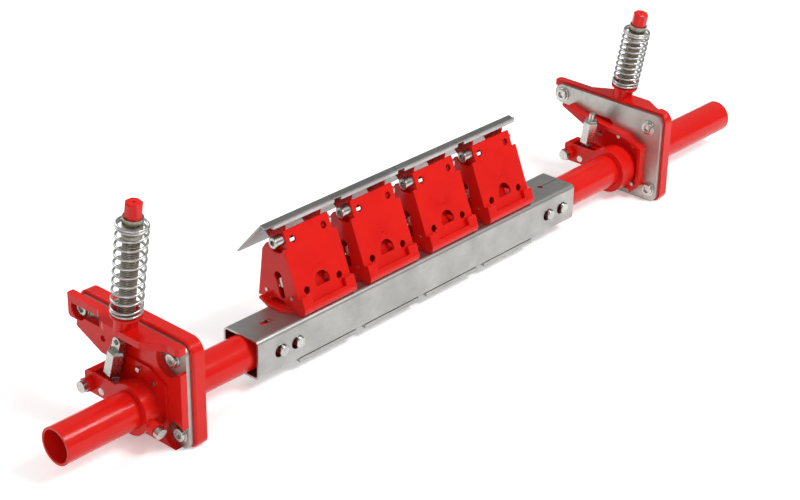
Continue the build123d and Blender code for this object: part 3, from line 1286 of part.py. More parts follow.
def add_modules():
    """Add the pieces of every blade module."""
    for index, centre_x in enumerate(MODULE_CENTRES, start=1):
        pieces[f"saddle_base_{index}"] = make_saddle_base(centre_x)
        pieces[f"housing_{index}"] = make_housing(centre_x)
        pieces[f"blade_rocker_{index}"] = make_rocker(centre_x)
        pieces[f"scraper_blade_{index}"] = make_blade(centre_x)
        pieces[f"tip_bar_{index}"] = make_tip_bar(centre_x)
        pieces[f"pivot_pin_{index}"] = make_pin(centre_x)
    pieces["rubber_buffers"] = make_buffers()
    pieces["module_bolts"] = make_module_bolts()


def add_carrier():
    """Add the carrier, its tubes and its fasteners."""
    half = CARRIER_LENGTH / 2
    pieces["carrier_box"] = make_carrier()
    pieces["tube_left"] = make_tube(TUBE_LEFT_END, -half + TUBE_ENGAGEMENT)
    pieces["tube_right"] = make_tube(half - TUBE_ENGAGEMENT, TUBE_RIGHT_END)
    pieces["carrier_clamp_bolts"] = make_clamp_bolts()
    pieces["bottom_strips"] = make_bottom_strips()


def add_mounts():
    """Add both mounts with their levers, spindles and fasteners."""
    collar_inner = outer_ring_end() - SIDE_GAP
    collar_outer = collar_inner - COLLAR_WIDTH
    collar_middle = (collar_inner + collar_outer) / 2
    arm_inner = collar_outer + LEVER_WIDTH
    stop_near = inner_ring_end() + SIDE_GAP
    stop_far = stop_near + STOP_LEVER_WIDTH
    pieces["clamp_plate_left"] = place(make_clamp_plate(), "left")
    pieces["inner_flange_right"] = place(make_inner_flange(), "right")
    for side in SIDES:
        lever = make_lever(collar_outer, collar_inner, arm_inner, LINK_INBOARD)
        lever = with_set_boss(lever, collar_middle, SET_BOLT_ANGLES[side])
        pieces[f"bracket_{side}"] = place(make_bracket(side), side)
        pieces[f"slide_plate_{side}"] = place(make_slide_plate(), side)
        pieces[f"bearing_flange_{side}"] = place(make_outer_flange(), side)
        pieces[f"lever_collar_{side}"] = place(lever, side)
        pieces[f"spindle_{side}"] = place(make_spindle(side), side)
        pieces[f"link_{side}"] = place(make_link(), side)
        pieces[f"spring_{side}"] = place(make_spring(side), side)
        pieces[f"spring_sleeve_{side}"] = place(make_sleeve(side), side)
        pieces[f"adjusting_cap_{side}"] = place(make_cap(side), side)
    pieces["stop_lever_right"] = place(make_lever(stop_near, stop_far, stop_far, STOP_ROD_INBOARD), "right")
    pieces["stop_rod_right"] = place(make_stop_rod(), "right")
    groups = {name: [] for name in ("bearing_bushes", "mount_bolts", "flange_screws",
                                    "lever_bolts", "lock_nuts", "clevis_pins")}
    inner_ends = {"left": SLIDE_PLATE + CLAMP_PLATE, "right": inner_ring_end()}
    for side in SIDES:
        groups["bearing_bushes"].append(place(make_bush(outer_ring_end(), inner_ends[side]), side))
        groups["mount_bolts"] += [place(bolt, side) for bolt in make_mount_bolts(side == "left")]
        screws = make_flange_screws(-BRACKET_WEB - FLANGE_PLATE, -1)
        groups["flange_screws"] += [place(screw, side) for screw in screws]
        angle = SET_BOLT_ANGLES[side]
        groups["lever_bolts"].append(place(make_set_bolt(collar_middle, angle), side))
        groups["lever_bolts"].append(place(make_end_bolt(collar_outer, -1), side))
        groups["lock_nuts"].append(place(make_set_nut(collar_middle, angle), side))
        groups["lock_nuts"].append(place(make_end_nut(collar_outer, -1), side))
        pin = rod_x(collar_outer, arm_inner, CLEVIS_Y, CLEVIS_Z, CLEVIS_PIN / 2)
        groups["clevis_pins"].append(place(pin, side))
    screws = make_flange_screws(SLIDE_PLATE + INNER_FLANGE_PLATE, 1)
    groups["flange_screws"] += [place(screw, "right") for screw in screws]
    groups["lever_bolts"].append(place(make_end_bolt(stop_far, 1), "right"))
    groups["lock_nuts"].append(place(make_end_nut(stop_far, 1), "right"))
    stop_pin = rod_x(stop_near, stop_far, CLEVIS_Y, CLEVIS_Z, CLEVIS_PIN / 2)
    groups["clevis_pins"].append(place(stop_pin, "right"))
    for name, solids in groups.items():
        pieces[name] = Compound(solids)


def base_shift():
    """Move that brings the middle of the base of everything to the origin."""
    boxes = [shape.bounding_box() for shape in pieces.values()]
    low = [min(getattr(box.min, axis) for box in boxes) for axis in "XYZ"]
    high = [max(getattr(box.max, axis) for box in boxes) for axis in "XYZ"]
    return Pos(-(low[0] + high[0]) / 2, -(low[1] + high[1]) / 2, -low[2])


add_carrier()
add_modules()
add_mounts()
shift = base_shift()
os.makedirs("parts", exist_ok=True)
for name, shape in pieces.items():
    export_step(shift * shape, f"parts/{name}.step")
print("shift", [round(value, 4) for value in shift.position])
print("nodes", len(pieces))
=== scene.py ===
import logging
import math
from dataclasses import dataclass, field
from enum import Enum

import bmesh
import bpy
from mathutils import Matrix, Vector

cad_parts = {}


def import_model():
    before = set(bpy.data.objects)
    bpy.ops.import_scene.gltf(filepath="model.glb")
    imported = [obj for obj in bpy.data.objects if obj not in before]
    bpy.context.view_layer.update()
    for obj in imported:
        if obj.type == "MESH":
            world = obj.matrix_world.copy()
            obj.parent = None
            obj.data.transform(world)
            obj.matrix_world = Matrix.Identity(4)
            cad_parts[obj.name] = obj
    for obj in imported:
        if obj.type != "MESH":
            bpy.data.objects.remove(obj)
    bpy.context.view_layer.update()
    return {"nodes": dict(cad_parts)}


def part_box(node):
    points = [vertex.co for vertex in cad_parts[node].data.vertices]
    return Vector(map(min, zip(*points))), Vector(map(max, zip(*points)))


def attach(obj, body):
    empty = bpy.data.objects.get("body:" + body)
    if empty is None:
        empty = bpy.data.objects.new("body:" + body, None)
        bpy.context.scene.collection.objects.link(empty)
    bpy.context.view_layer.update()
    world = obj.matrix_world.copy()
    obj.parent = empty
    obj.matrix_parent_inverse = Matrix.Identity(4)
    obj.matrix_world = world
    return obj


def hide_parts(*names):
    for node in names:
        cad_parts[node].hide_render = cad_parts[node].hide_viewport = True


LOG = logging.getLogger("scraper")
MM = 0.001
# Where the middle of the tube's axis lies in the frame, in millimetres.
AXIS_AT = (-74.5, -43.0, 58.0)
# A wave texture of scale one repeats after this length.
WAVE_PERIOD = math.pi / 10
BEVEL_SAMPLES = 6
CAD_SMOOTH_DEG = 30.0
PIECE_SMOOTH_DEG = 35.0
SPRING_LENGTHS = {"left": 156.0 * MM, "right": 115.5 * MM}


class Grain(Enum):
    """Direction in which a metal's brushed grain runs."""

    ALONG_X = (0.02, 1.0, 1.0)
    ALONG_Z = (1.0, 1.0, 0.03)
    NONE = (1.0, 1.0, 1.0)


def linear(code: str) -> tuple[float, float, float, float]:
    """Turn an sRGB hex colour into linear values.

    Args:
        code: Six hex digits, such as "c40f14".

    Returns:
        Red, green, blue and an alpha of one.
    """
    shares = [int(code[start:start + 2], 16) / 255 for start in (0, 2, 4)]
    values = [s / 12.92 if s <= 0.04045 else ((s + 0.055) / 1.055) ** 2.4 for s in shares]
    return (values[0], values[1], values[2], 1.0)


def per_metre(size_mm: float) -> float:
    """Return the pattern scale that gives one cell per size in millimetres."""
    return 1000.0 / size_mm


def add_node(tree: bpy.types.NodeTree, kind: str, inputs: dict | None = None, **settings) -> bpy.types.Node:
    """Add a shader node with its settings, values and links.

    Args:
        tree: Node tree that takes the node.
        kind: Node type name without the ShaderNode prefix.
        inputs: Socket name or index to a value, or to an output socket that is linked.
        **settings: Attributes of the node.

    Returns:
        The new node.
    """
    made = tree.nodes.new("ShaderNode" + kind)
    for name, value in settings.items():
        setattr(made, name, value)
    for key, value in (inputs or {}).items():
        socket = made.inputs[key]
        if isinstance(value, bpy.types.NodeSocket):
            tree.links.new(value, socket)
        else:
            socket.default_value = value
    return made


def ramp(tree: bpy.types.NodeTree, factor: bpy.types.NodeSocket, stops: list) -> bpy.types.NodeSocket:
    """Add a colour ramp.

    Args:
        tree: Node tree that takes the ramp.
        factor: Socket that drives it.
        stops: Pairs of position and linear colour.

    Returns:
        The ramp's colour output.
    """
    made = add_node(tree, "ValToRGB", {"Fac": factor})
    elements = made.color_ramp.elements
    while len(elements) < len(stops):
        elements.new(0.5)
    for element, (position, colour) in zip(elements, stops):
        element.position = position
        element.color = colour
    return made.outputs["Color"]


def grey(value: float) -> tuple[float, float, float, float]:
    """Return a neutral linear colour."""
    return (value, value, value, 1.0)


def start_material(name: str) -> tuple[bpy.types.Material, bpy.types.NodeTree, bpy.types.Node]:
    """Make an empty node material with its shader.

    Args:
        name: Name of the finish.

    Returns:
        The material, its node tree and its principled shader.
    """
    material = bpy.data.materials.new(name)
    material.use_nodes = True
    tree = material.node_tree
    tree.nodes.clear()
    shader = add_node(tree, "BsdfPrincipled")
    add_node(tree, "OutputMaterial", {"Surface": shader.outputs["BSDF"]})
    return material, tree, shader


def place_input(tree: bpy.types.NodeTree) -> bpy.types.NodeSocket:
    """Return the object coordinates, in metres."""
    return add_node(tree, "TexCoord").outputs["Object"]


def noise(tree: bpy.types.NodeTree, place: bpy.types.NodeSocket, size_mm: float,
          detail: float = 3.0, roughness: float = 0.5) -> bpy.types.NodeSocket:
    """Add a noise pattern of a real size.

    Args:
        tree: Node tree that takes the pattern.
        place: Coordinates of the surface, in metres.
        size_mm: Size of one blotch.
        detail: Number of finer layers.
        roughness: Share of the finer layers.

    Returns:
        The pattern's factor.
    """
    made = add_node(tree, "TexNoise", {"Vector": place, "Scale": per_metre(size_mm),
                                       "Detail": detail, "Roughness": roughness})
    return made.outputs["Fac"]


def bump(tree: bpy.types.NodeTree, height: bpy.types.NodeSocket, depth_mm: float, strength: float,
         edge_mm: float) -> bpy.types.NodeSocket:
    """Add a bump over edges that are softened to a small radius.

    Args:
        tree: Node tree that takes the bump.
        height: Pattern that gives the height.
        depth_mm: Height of the pattern.
        strength: Share of the bump that is used.
        edge_mm: Radius to which sharp edges are eased.

    Returns:
        The normal to give to the shader.
    """
    eased = add_node(tree, "Bevel", {"Radius": edge_mm * MM}, samples=BEVEL_SAMPLES)
    made = add_node(tree, "Bump", {"Height": height, "Distance": depth_mm * MM, "Strength": strength,
                                   "Normal": eased.outputs["Normal"]})
    return made.outputs["Normal"]


@dataclass(frozen=True)
class PowderCoat:
    """Polyester powder, sprayed and baked: a deep red skin with a fine orange peel.

    The eye sees one saturated red with a crisp, faintly wavy highlight; its convex edges are painted
    lighter, a painted highlight.
    """

    name: str = "powder_coat_sprayed_and_baked"
    colour: str = "d9140e"
    deep: str = "cb0e09"
    # Lighter red of the painted edge highlight, also laid on as fine specks.
    speck_and_edge_highlight: str = "e2261e"
    orange_peel_mm: float = 3.2
    peel_depth_mm: float = 0.25
    peel_strength: float = 0.18
    cloud_mm: float = 60.0
    speck_mm: float = 1.6
    smear_mm: float = 25.0
    edge_mm: float = 1.1
    # Share of the painted edge highlight on convex edges.
    edge_highlight_share: float = 0.35
    roughness: float = 0.13
    rough_spread: float = 0.14
    gloss: float = 0.24

    def build(self) -> bpy.types.Material:
        """Return the material."""
        material, tree, shader = start_material(self.name)
        place = place_input(tree)
        cloud = noise(tree, place, self.cloud_mm, 4.0)
        tone = ramp(tree, cloud, [(0.3, linear(self.deep)), (0.6, linear(self.colour))])
        # Convex edges, found from pointiness, are painted lighter: a painted highlight along every edge.
        edge_pointiness = add_node(tree, "NewGeometry").outputs["Pointiness"]
        edge = ramp(tree, edge_pointiness, [(0.52, grey(0.0)), (0.6, grey(self.edge_highlight_share))])
        shade = add_node(tree, "Mix", {"Factor": edge, "A": tone, "B": linear(self.speck_and_edge_highlight)}, data_type="RGBA")
        # Fine lighter specks of the same red are laid over the painted edge highlight.
        specks = ramp(tree, noise(tree, place, self.speck_mm, 2.0), [(0.74, grey(0.0)), (0.8, grey(1.0))])
        dust_and_edge_highlight = add_node(tree, "Mix", {"Factor": specks, "A": shade.outputs[2], "B": linear(self.speck_and_edge_highlight)},
                        data_type="RGBA")
        tree.links.new(dust_and_edge_highlight.outputs[2], shader.inputs["Base Color"])
        smear = noise(tree, place, self.smear_mm, 6.0, 0.7)
        rough = add_node(tree, "MapRange", {"Value": smear, "From Min": 0.3, "From Max": 0.7,
                                            "To Min": self.roughness,
                                            "To Max": self.roughness + self.rough_spread})
        tree.links.new(rough.outputs["Result"], shader.inputs["Roughness"])
        peel = noise(tree, place, self.orange_peel_mm, 2.0)
        skin = bump(tree, peel, self.peel_depth_mm, self.peel_strength, self.edge_mm)
        tree.links.new(skin, shader.inputs["Normal"])
        shader.inputs["Specular IOR Level"].default_value = self.gloss
        return material


@dataclass(frozen=True)
class BrushedSteel:
    """Ground, rolled or plated steel: a metal with fine scratches or a soft mottle.

    The eye sees a highlight that is drawn out across the scratches and broken by cloudy patches.
    """

    name: str
    light: str
    dark: str
    grain: Grain
    roughness: float
    line_mm: float = 0.5
    edge_mm: float = 0.5
    cloud_mm: float = 45.0
    cloud_share: float = 0.45
    scratch_depth_mm: float = 0.06
    scratch_strength: float = 0.25
    duller: float = 0.1
    brighter: float = 0.05

    def build(self) -> bpy.types.Material:
        """Return the material."""
        material, tree, shader = start_material(self.name)
        place = place_input(tree)
        stretched = add_node(tree, "Mapping", {"Vector": place, "Scale": self.grain.value})
        lines = noise(tree, stretched.outputs["Vector"], self.line_mm, 3.0, 0.6)
        cloud = noise(tree, place, self.cloud_mm, 5.0, 0.6)
        mixed = add_node(tree, "Mix", {"Factor": self.cloud_share, "A": lines, "B": cloud},
                         data_type="FLOAT")
        tone = ramp(tree, mixed.outputs[0], [(0.32, linear(self.dark)), (0.68, linear(self.light))])
        tree.links.new(tone, shader.inputs["Base Color"])
        rough = add_node(tree, "MapRange", {"Value": mixed.outputs[0], "From Min": 0.3, "From Max": 0.7,
                                            "To Min": self.roughness + self.duller,
                                            "To Max": self.roughness - self.brighter})
        tree.links.new(rough.outputs["Result"], shader.inputs["Roughness"])
        skin = bump(tree, lines, self.scratch_depth_mm, self.scratch_strength, self.edge_mm)
        tree.links.new(skin, shader.inputs["Normal"])
        shader.inputs["Metallic"].default_value = 1.0
        return material


@dataclass(frozen=True)
class ThreadedSteel:
    """Plain steel rod with a rolled screw thread: fine rings across a leaning rod.

    The crests are painted lighter and the roots darker, a painted highlight and painted shade that repeat at
    the pitch of the thread.
    """

    name: str
    # Crest and root colours: a painted highlight on the crests and painted shade in the roots.
    light: str
    dark: str
    tilt_deg: float
    pitch_mm: float = 3.0
    thread_depth_mm: float = 0.8
    thread_strength: float = 0.8
    edge_mm: float = 0.3
    wobble: float = 0.4
    roughness: float = 0.34

    def build(self) -> bpy.types.Material:
        """Return the material."""
        material, tree, shader = start_material(self.name)
        place = place_input(tree)
        upright = (math.radians(-self.tilt_deg), 0, 0)
        turned = add_node(tree, "Mapping", {"Vector": place, "Rotation": upright})
        rings = add_node(tree, "TexWave", {"Vector": turned.outputs["Vector"], "Distortion": self.wobble,
                                           "Scale": per_metre(self.pitch_mm) * WAVE_PERIOD},
                         bands_direction="Z")
        # The rings are painted dark in the roots and light on the crests: painted shade and painted
        # highlight.
        tone = ramp(tree, rings.outputs["Fac"], [(0.2, linear(self.dark)), (0.75, linear(self.light))])
        tree.links.new(tone, shader.inputs["Base Color"])
        skin = bump(tree, rings.outputs["Fac"], self.thread_depth_mm, self.thread_strength, self.edge_mm)
        tree.links.new(skin, shader.inputs["Normal"])
        shader.inputs["Metallic"].default_value = 1.0
        shader.inputs["Roughness"].default_value = self.roughness
        return material


@dataclass(frozen=True)
class MouldedRubber:
    """Moulded rubber: the eye sees a dull black with a faint grey bloom and no highlight."""

    name: str = "rubber_moulded"
    colour: str = "1b1b1b"
    bloom: str = "2e2d2b"
    bloom_mm: float = 12.0
    pore_mm: float = 0.9
    pore_depth_mm: float = 0.1
    pore_strength: float = 0.4
    edge_mm: float = 0.5
    roughness: float = 0.7

    def build(self) -> bpy.types.Material:
        """Return the material."""
        material, tree, shader = start_material(self.name)
        place = place_input(tree)
        cloud = noise(tree, place, self.bloom_mm, 4.0)
        tone = ramp(tree, cloud, [(0.35, linear(self.colour)), (0.7, linear(self.bloom))])
        tree.links.new(tone, shader.inputs["Base Color"])
        pores = noise(tree, place, self.pore_mm, 2.0)
        skin = bump(tree, pores, self.pore_depth_mm, self.pore_strength, self.edge_mm)
        tree.links.new(skin, shader.inputs["Normal"])
        shader.inputs["Roughness"].default_value = self.roughness
        return material


@dataclass
class Finishes:
    """Every finish of the scraper."""

    red: PowderCoat = field(default_factory=PowderCoat)
    # Folded sheet, brushed along its length: pale, with long quiet streaks.
    carrier: BrushedSteel = BrushedSteel(
        "stainless_sheet_folded_and_brushed", "bebebb", "9b9a97", Grain.ALONG_X, roughness=0.38)
    # Cut plate, brushed upright: pale and matt beside the red rim.
    plate: BrushedSteel = BrushedSteel(
        "stainless_plate_cut_and_brushed", "c3c2bd", "9e9d97", Grain.ALONG_Z, roughness=0.38)
    # Ground blade stock: darker and sharper than the carrier.
    blade: BrushedSteel = BrushedSteel(
        "stainless_blade_ground", "a9aaa8", "787977", Grain.ALONG_X, roughness=0.28)
    # Ground carbide edge: a pale satin line along the blades.
    tip: BrushedSteel = BrushedSteel(
        "carbide_tip_ground", "c6c7c5", "9a9b99", Grain.ALONG_X, roughness=0.34)
    # Bright zinc over forged bolts: soft mottle and clear highlights.
    zinc: BrushedSteel = BrushedSteel(
        "steel_forged_and_zinc_plated", "d6d5d1", "a3a29c", Grain.NONE, roughness=0.24, line_mm=4.0)
    # Zinc over drawn wire: round grey highlights along each coil.
    wire: BrushedSteel = BrushedSteel(
        "spring_wire_drawn_and_plated", "cfcfcd", "9f9f9d", Grain.NONE, roughness=0.3, line_mm=6.0)
    # Turned bar: a darker, oily collar on top of the spring.
    sleeve: BrushedSteel = BrushedSteel(
        "steel_bar_turned", "a8a596", "767264", Grain.NONE, roughness=0.3, line_mm=5.0)
    # Rolled thread: the greenish grey rod inside the spring.
    thread: ThreadedSteel = ThreadedSteel(
        "steel_rod_with_rolled_thread", "a39f90", "58544a", tilt_deg=9.5)
    rubber: MouldedRubber = field(default_factory=MouldedRubber)
    made: dict = field(default_factory=dict)

    def get(self, name: str) -> bpy.types.Material:
        """Return a finish's material, made once."""
        if name not in self.made:
            self.made[name] = getattr(self, name).build()
        return self.made[name]


NODE_FINISH = {
    "carrier_box": "carrier",
    "bottom_strips": "carrier",
    "slide_plate": "plate",
    "scraper_blade": "blade",
    "tip_bar": "tip",
    "carrier_clamp_bolts": "zinc",
    "pivot_pin": "zinc",
    "module_bolts": "zinc",
    "mount_bolts": "zinc",
    "flange_screws": "zinc",
    "lever_bolts": "zinc",
    "clevis_pins": "zinc",
    "link": "zinc",
    "stop_rod": "zinc",
    "spring_left": "wire",
    "spring_right": "wire",
    "spindle": "thread",
    "spring_sleeve": "sleeve",
    "rubber_buffers": "rubber",
}


def finish_for(node: str) -> str:
    """Return the name of a node's finish; what isn't listed is powder coated."""
    for start, finish in NODE_FINISH.items():
        if node.startswith(start):
            return finish
    return "red"


def dress(piece: bpy.types.Object, material: bpy.types.Material) -> None:
    """Give a piece one material."""
    piece.data.materials.clear()
    piece.data.materials.append(material)


def smooth_by_angle(piece: bpy.types.Object, degrees: float) -> None:
    """Shade a mesh smooth, apart from edges sharper than an angle."""
    for polygon in piece.data.polygons:
        polygon.use_smooth = True
    piece.data.set_sharp_from_angle(angle=math.radians(degrees))


def piece_from(mesh_maker: bmesh.types.BMesh, name: str, body: str) -> bpy.types.Object:
    """Turn a bmesh into a piece that rides on a body.

    Args:
        mesh_maker: Finished bmesh, which is freed.
        name: Name of the piece.
        body: Body that the piece rides on.

    Returns:
        The piece.
    """
    bmesh.ops.recalc_face_normals(mesh_maker, faces=mesh_maker.faces)
    mesh = bpy.data.meshes.new(name)
    mesh_maker.to_mesh(mesh)
    mesh_maker.free()
    piece = bpy.data.objects.new(name, mesh)
    bpy.context.scene.collection.objects.link(piece)
    smooth_by_angle(piece, PIECE_SMOOTH_DEG)
    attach(piece, body)
    LOG.info("piece %s: %d faces", name, len(mesh.polygons))
    return piece


def middle(node: str) -> Vector:
    """Return the middle of a node's box."""
    low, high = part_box(node)
    return (low + high) / 2


@dataclass
class CoilSpring:
    """Compression spring with closed ends, wound round a leaning spindle."""

    side: str
    length: float
    lean_deg: float = 9.5
    coil_diameter: float = 46.0 * MM
    wire: float = 4.0 * MM
    open_turns: float = 9.0
    closed_turns: float = 1.4
    closed_pitch: float = 1.05
    wire_sides: int = 12
    steps_per_turn: int = 36

    def build(self, material: bpy.types.Material) -> bpy.types.Object:
        """Wind the wire from its seat upwards.

        Args:
            material: Finish of the wire.

        Returns:
            The spring.
        """
        lean = math.radians(self.lean_deg)
        axis = Vector((0, -math.sin(lean), math.cos(lean)))
        on_axis = middle(f"spring_sleeve_{self.side}")
        along = (middle(f"spring_{self.side}") - on_axis).dot(axis)
        seat = on_axis + axis * (along - self.length / 2)
        maker = bmesh.new()
        ring = bmesh.ops.create_circle(maker, segments=self.wire_sides, radius=self.wire / 2, cap_ends=True)
        turn = Matrix.Rotation(math.radians(90), 4, "X")
        shift = Matrix.Translation((self.coil_diameter / 2, 0, self.wire / 2))
        bmesh.ops.transform(maker, matrix=shift @ turn, verts=ring["verts"])
        closed_rise = self.closed_turns * self.wire * self.closed_pitch
        open_rise = self.length - self.wire - 2 * closed_rise
        geometry = list(maker.verts) + list(maker.edges) + list(maker.faces)
        for turns, rise in (
            (self.closed_turns, closed_rise),
            (self.open_turns, open_rise),
            (self.closed_turns, closed_rise),
        ):
            steps = round(turns * self.steps_per_turn)
            spun = bmesh.ops.spin(maker, geom=geometry, cent=(0, 0, 0), axis=(0, 0, 1),
                                  dvec=(0, 0, rise / steps), angle=turns * math.tau, steps=steps,
                                  use_merge=False, use_normal_flip=False, use_duplicate=False)
            geometry = spun["geom_last"]
        upright = Matrix.Translation(seat) @ Matrix.Rotation(lean, 4, "X")
        bmesh.ops.transform(maker, matrix=upright, verts=maker.verts)
        piece = piece_from(maker, f"coil_spring_{self.side}", "mounts")
        dress(piece, material)
        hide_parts(f"spring_{self.side}")
        return piece


@dataclass
class SocketBolts:
    """The mounts' bolts: round washers and round heads with a hexagonal socket."""

    places: tuple = ((147.0, 96.0), (-52.0, 87.0), (-62.0, -34.0))
    left_face: float = -569.0
    right_face: float = 589.0
    outward_deg: float = -90.0
    washer_mm: float = 27.0
    washer_thick_mm: float = 2.0
    head_mm: float = 22.0
    head_proud_mm: float = 5.0
    shank_mm: float = 11.9
    shank_length_mm: float = 8.0
    socket_mm: float = 12.0
    socket_deep_mm: float = 3.5
    ease_mm: float = 0.9
    ease_steps: int = 2
    segments: int = 40
    match: float = 1e-5

    def add_disc(self, maker: bmesh.types.BMesh, place: Matrix, start: float, thick: float,
                 diameter: float) -> None:
        """Add a round disc with eased outer edges.

        Args:
            maker: Mesh that takes the disc.
            place: Matrix whose Z is the bolt's axis, outwards.
            start: Height of the disc's foot, in millimetres.
            thick: Thickness of the disc, in millimetres.
            diameter: Diameter of the disc, in millimetres.
        """
        made = bmesh.ops.create_cone(maker, cap_ends=True, segments=self.segments, radius1=diameter / 2 * MM,
                                     radius2=diameter / 2 * MM, depth=thick * MM)
        shift = place @ Matrix.Translation((0, 0, (start + thick / 2) * MM))
        top = [v for v in made["verts"] if v.co.z > 0]
        edges = [e for e in {e for v in top for e in v.link_edges} if all(v in top for v in e.verts)]
        bmesh.ops.transform(maker, matrix=shift, verts=made["verts"])
        bmesh.ops.bevel(maker, geom=edges, offset=self.ease_mm * MM, offset_type="OFFSET",
                        segments=self.ease_steps, profile=0.5, affect="EDGES", material=-1)

    def add_bolt(self, maker: bmesh.types.BMesh, place: Matrix) -> None:
        """Add one bolt with its washer and socket.

        Args:
            maker: Mesh that takes the bolt.
            place: Matrix whose Z is the bolt's axis, outwards.
        """
        self.add_disc(maker, place, 0.0, self.washer_thick_mm, self.washer_mm)
        self.add_disc(maker, place, self.washer_thick_mm, self.head_proud_mm, self.head_mm)
        self.add_disc(maker, place, -self.shank_length_mm, self.shank_length_mm, self.shank_mm)
        foot = self.washer_thick_mm + self.head_proud_mm
        top = [f for f in maker.faces if len(f.verts) == self.segments
               and abs((place.inverted() @ f.calc_center_median()).z - foot * MM) < self.match]
        rim = self.head_mm / 2 - self.ease_mm - self.socket_mm / 2
        bmesh.ops.inset_region(maker, faces=top, thickness=rim * MM)
        ring = top[0]
        corners = place.inverted()
        for vertex in ring.verts:
            flat = corners @ vertex.co
            angle = math.atan2(flat.y, flat.x)
            reach = self.socket_mm / 2 * MM / math.cos((angle % (math.pi / 3)) - math.pi / 6)
            vertex.co = place @ Vector((reach * math.cos(angle), reach * math.sin(angle), flat.z))
        sunk = bmesh.ops.extrude_face_region(maker, geom=[ring])
        bmesh.ops.delete(maker, geom=[ring], context="FACES")
        moved = [v for v in sunk["geom"] if isinstance(v, bmesh.types.BMVert)]
        down = place.to_3x3() @ Vector((0, 0, -self.socket_deep_mm * MM))
        bmesh.ops.translate(maker, vec=down, verts=moved)

    def build(self, material: bpy.types.Material) -> bpy.types.Object:
        """Build all six bolts as one piece.

        Args:
            material: Finish of the bolts.

        Returns:
            The piece.
        """
        maker = bmesh.new()
        outward = Matrix.Rotation(math.radians(self.outward_deg), 4, "Y")
        for face in (self.left_face, self.right_face):
            for y, z in self.places:
                at = Vector([(c + a) * MM for c, a in zip((face, y, z), AXIS_AT)])
                self.add_bolt(maker, Matrix.Translation(at) @ outward)
        piece = piece_from(maker, "socket_bolts", "mounts")
        dress(piece, material)
        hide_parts("mount_bolts")
        return piece


@dataclass(frozen=True)
class Softbox:
    """Soft area lamp that points at a place."""

    name: str
    place: tuple
    aim: tuple
    size: float
    power: float
    height_share: float = 0.7

    def build(self) -> None:
        """Add the lamp."""
        light = bpy.data.lights.new(self.name, "AREA")
        light.shape = "RECTANGLE"
        light.size = self.size
        light.size_y = self.size * self.height_share
        light.energy = self.power
        lamp = bpy.data.objects.new(self.name, light)
        lamp.location = self.place
        lamp.rotation_mode = "QUATERNION"
        lamp.rotation_quaternion = (Vector(self.aim) - Vector(self.place)).to_track_quat("-Z", "Y")
        bpy.context.scene.collection.objects.link(lamp)


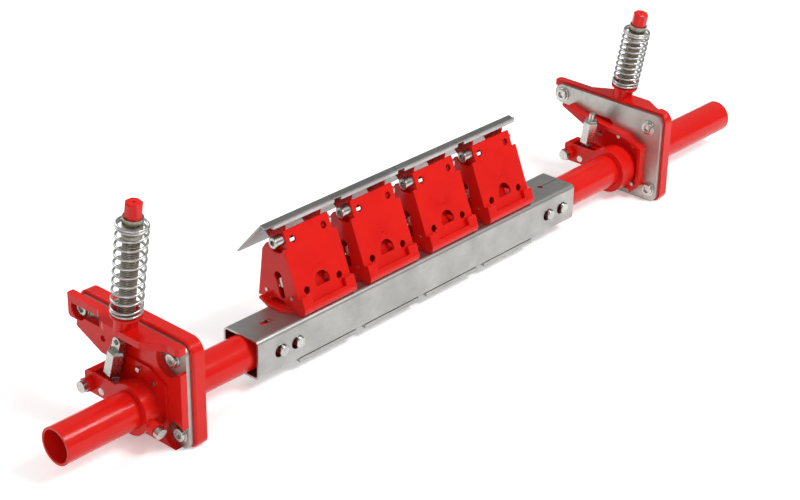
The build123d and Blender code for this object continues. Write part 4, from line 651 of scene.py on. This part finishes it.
@dataclass
class Studio:
    """Floor, lamps, world and camera."""

    focal_px: float = 1903.3
    azimuth: float = -48.055
    elevation: float = 27.261
    roll: float = 0.952
    centre: tuple = (-2102.3, -1862.6, 1480.8)
    image_width: int = 800
    sensor_mm: float = 36.0
    sky_strength: float = 0.56
    sky_low: float = 0.35
    sky_middle: float = 0.7
    paper_glow: float = 0.3
    paper_half_width: float = 30.0
    paper_cloud_mm: float = 900.0
    view_depth: float = 100.0
    lamps: tuple = (
        Softbox("key_softbox", (0.7, -2.2, 2.9), (0, 0, 0.1), 1.3, 84),
        Softbox("fill_softbox", (-2.6, -1.4, 1.5), (-0.2, 0, 0.1), 1.0, 10),
        Softbox("rim_softbox", (-0.6, 2.4, 2.2), (0, 0, 0.1), 1.4, 30),
    )

    def build_floor(self) -> None:
        """Add a large pale floor, which the camera and reflections see a little brighter."""
        maker = bmesh.new()
        bmesh.ops.create_grid(maker, x_segments=1, y_segments=1, size=self.paper_half_width)
        mesh = bpy.data.meshes.new("studio_floor")
        maker.to_mesh(mesh)
        maker.free()
        floor = bpy.data.objects.new("studio_floor", mesh)
        bpy.context.scene.collection.objects.link(floor)
        material, tree, shader = start_material("studio_paper")
        place = place_input(tree)
        cloud = noise(tree, place, self.paper_cloud_mm, 2.0)
        tone = ramp(tree, cloud, [(0.3, grey(0.93)), (0.7, grey(0.96))])
        tree.links.new(tone, shader.inputs["Base Color"])
        shader.inputs["Roughness"].default_value = 0.9
        seen = add_node(tree, "LightPath").outputs
        direct = add_node(tree, "Math", {0: seen["Is Camera Ray"], 1: seen["Is Glossy Ray"]},
                          operation="ADD")
        rays = add_node(tree, "Math", {0: direct.outputs[0], 1: seen["Is Transmission Ray"]},
                        operation="ADD", use_clamp=True)
        glow = add_node(tree, "Math", {0: rays.outputs[0], 1: self.paper_glow}, operation="MULTIPLY")
        shader.inputs["Emission Color"].default_value = grey(1.0)
        tree.links.new(glow.outputs[0], shader.inputs["Emission Strength"])
        dress(floor, material)

    def build_world(self) -> None:
        """Light everything softly from a pale world that is darker towards the horizon."""
        world = bpy.data.worlds.new("studio_world")
        bpy.context.scene.world = world
        world.use_nodes = True
        tree = world.node_tree
        tree.nodes.clear()
        up = add_node(tree, "SeparateXYZ", {"Vector": add_node(tree, "TexCoord").outputs["Generated"]})
        sky = ramp(tree, up.outputs["Z"], [(0.0, grey(self.sky_low)), (0.45, grey(self.sky_middle)),
                                        (1.0, grey(1.0))])
        back = add_node(tree, "Background", {"Color": sky, "Strength": self.sky_strength})
        add_node(tree, "OutputWorld", {"Surface": back.outputs["Background"]})

    def build_lamps(self) -> None:
        """Add the key, fill and rim lamps."""
        for lamp in self.lamps:
            lamp.build()

    def build_camera(self) -> None:
        """Place the camera at the photograph's viewpoint."""
        camera_data = bpy.data.cameras.new("photo_camera")
        camera_data.sensor_width = self.sensor_mm
        camera_data.lens = self.focal_px * self.sensor_mm / self.image_width
        camera_data.clip_end = self.view_depth
        camera = bpy.data.objects.new("photo_camera", camera_data)
        bpy.context.scene.collection.objects.link(camera)
        turn, lift, roll = (math.radians(value) for value in (self.azimuth, self.elevation, self.roll))
        back = Vector((math.sin(turn) * math.cos(lift), -math.cos(turn) * math.cos(lift), math.sin(lift)))
        right = Vector((math.cos(turn), math.sin(turn), 0))
        up = back.cross(right)
        side = math.cos(roll) * right + math.sin(roll) * up
        top = -math.sin(roll) * right + math.cos(roll) * up
        turned = Matrix((side, top, back)).transposed().to_4x4()
        place = Vector([(c + a) * MM for c, a in zip(self.centre, AXIS_AT)])
        camera.matrix_world = Matrix.Translation(place) @ turned
        bpy.context.scene.camera = camera

    def build(self) -> None:
        """Build the whole studio."""
        self.build_floor()
        self.build_world()
        self.build_lamps()
        self.build_camera()
        bpy.context.scene.view_settings.view_transform = "Standard"


def main() -> None:
    """Build the scraper's looks round its frame."""
    logging.basicConfig(level=logging.INFO, format="%(message)s")
    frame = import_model()
    finishes = Finishes()
    for name, piece in frame["nodes"].items():
        dress(piece, finishes.get(finish_for(name)))
        smooth_by_angle(piece, CAD_SMOOTH_DEG)
        LOG.info("node %s: %s", name, finish_for(name))
    for side, length in SPRING_LENGTHS.items():
        CoilSpring(side, length).build(finishes.get("wire"))
    SocketBolts().build(finishes.get("zinc"))
    Studio().build()


if __name__ == "__main__":
    main()
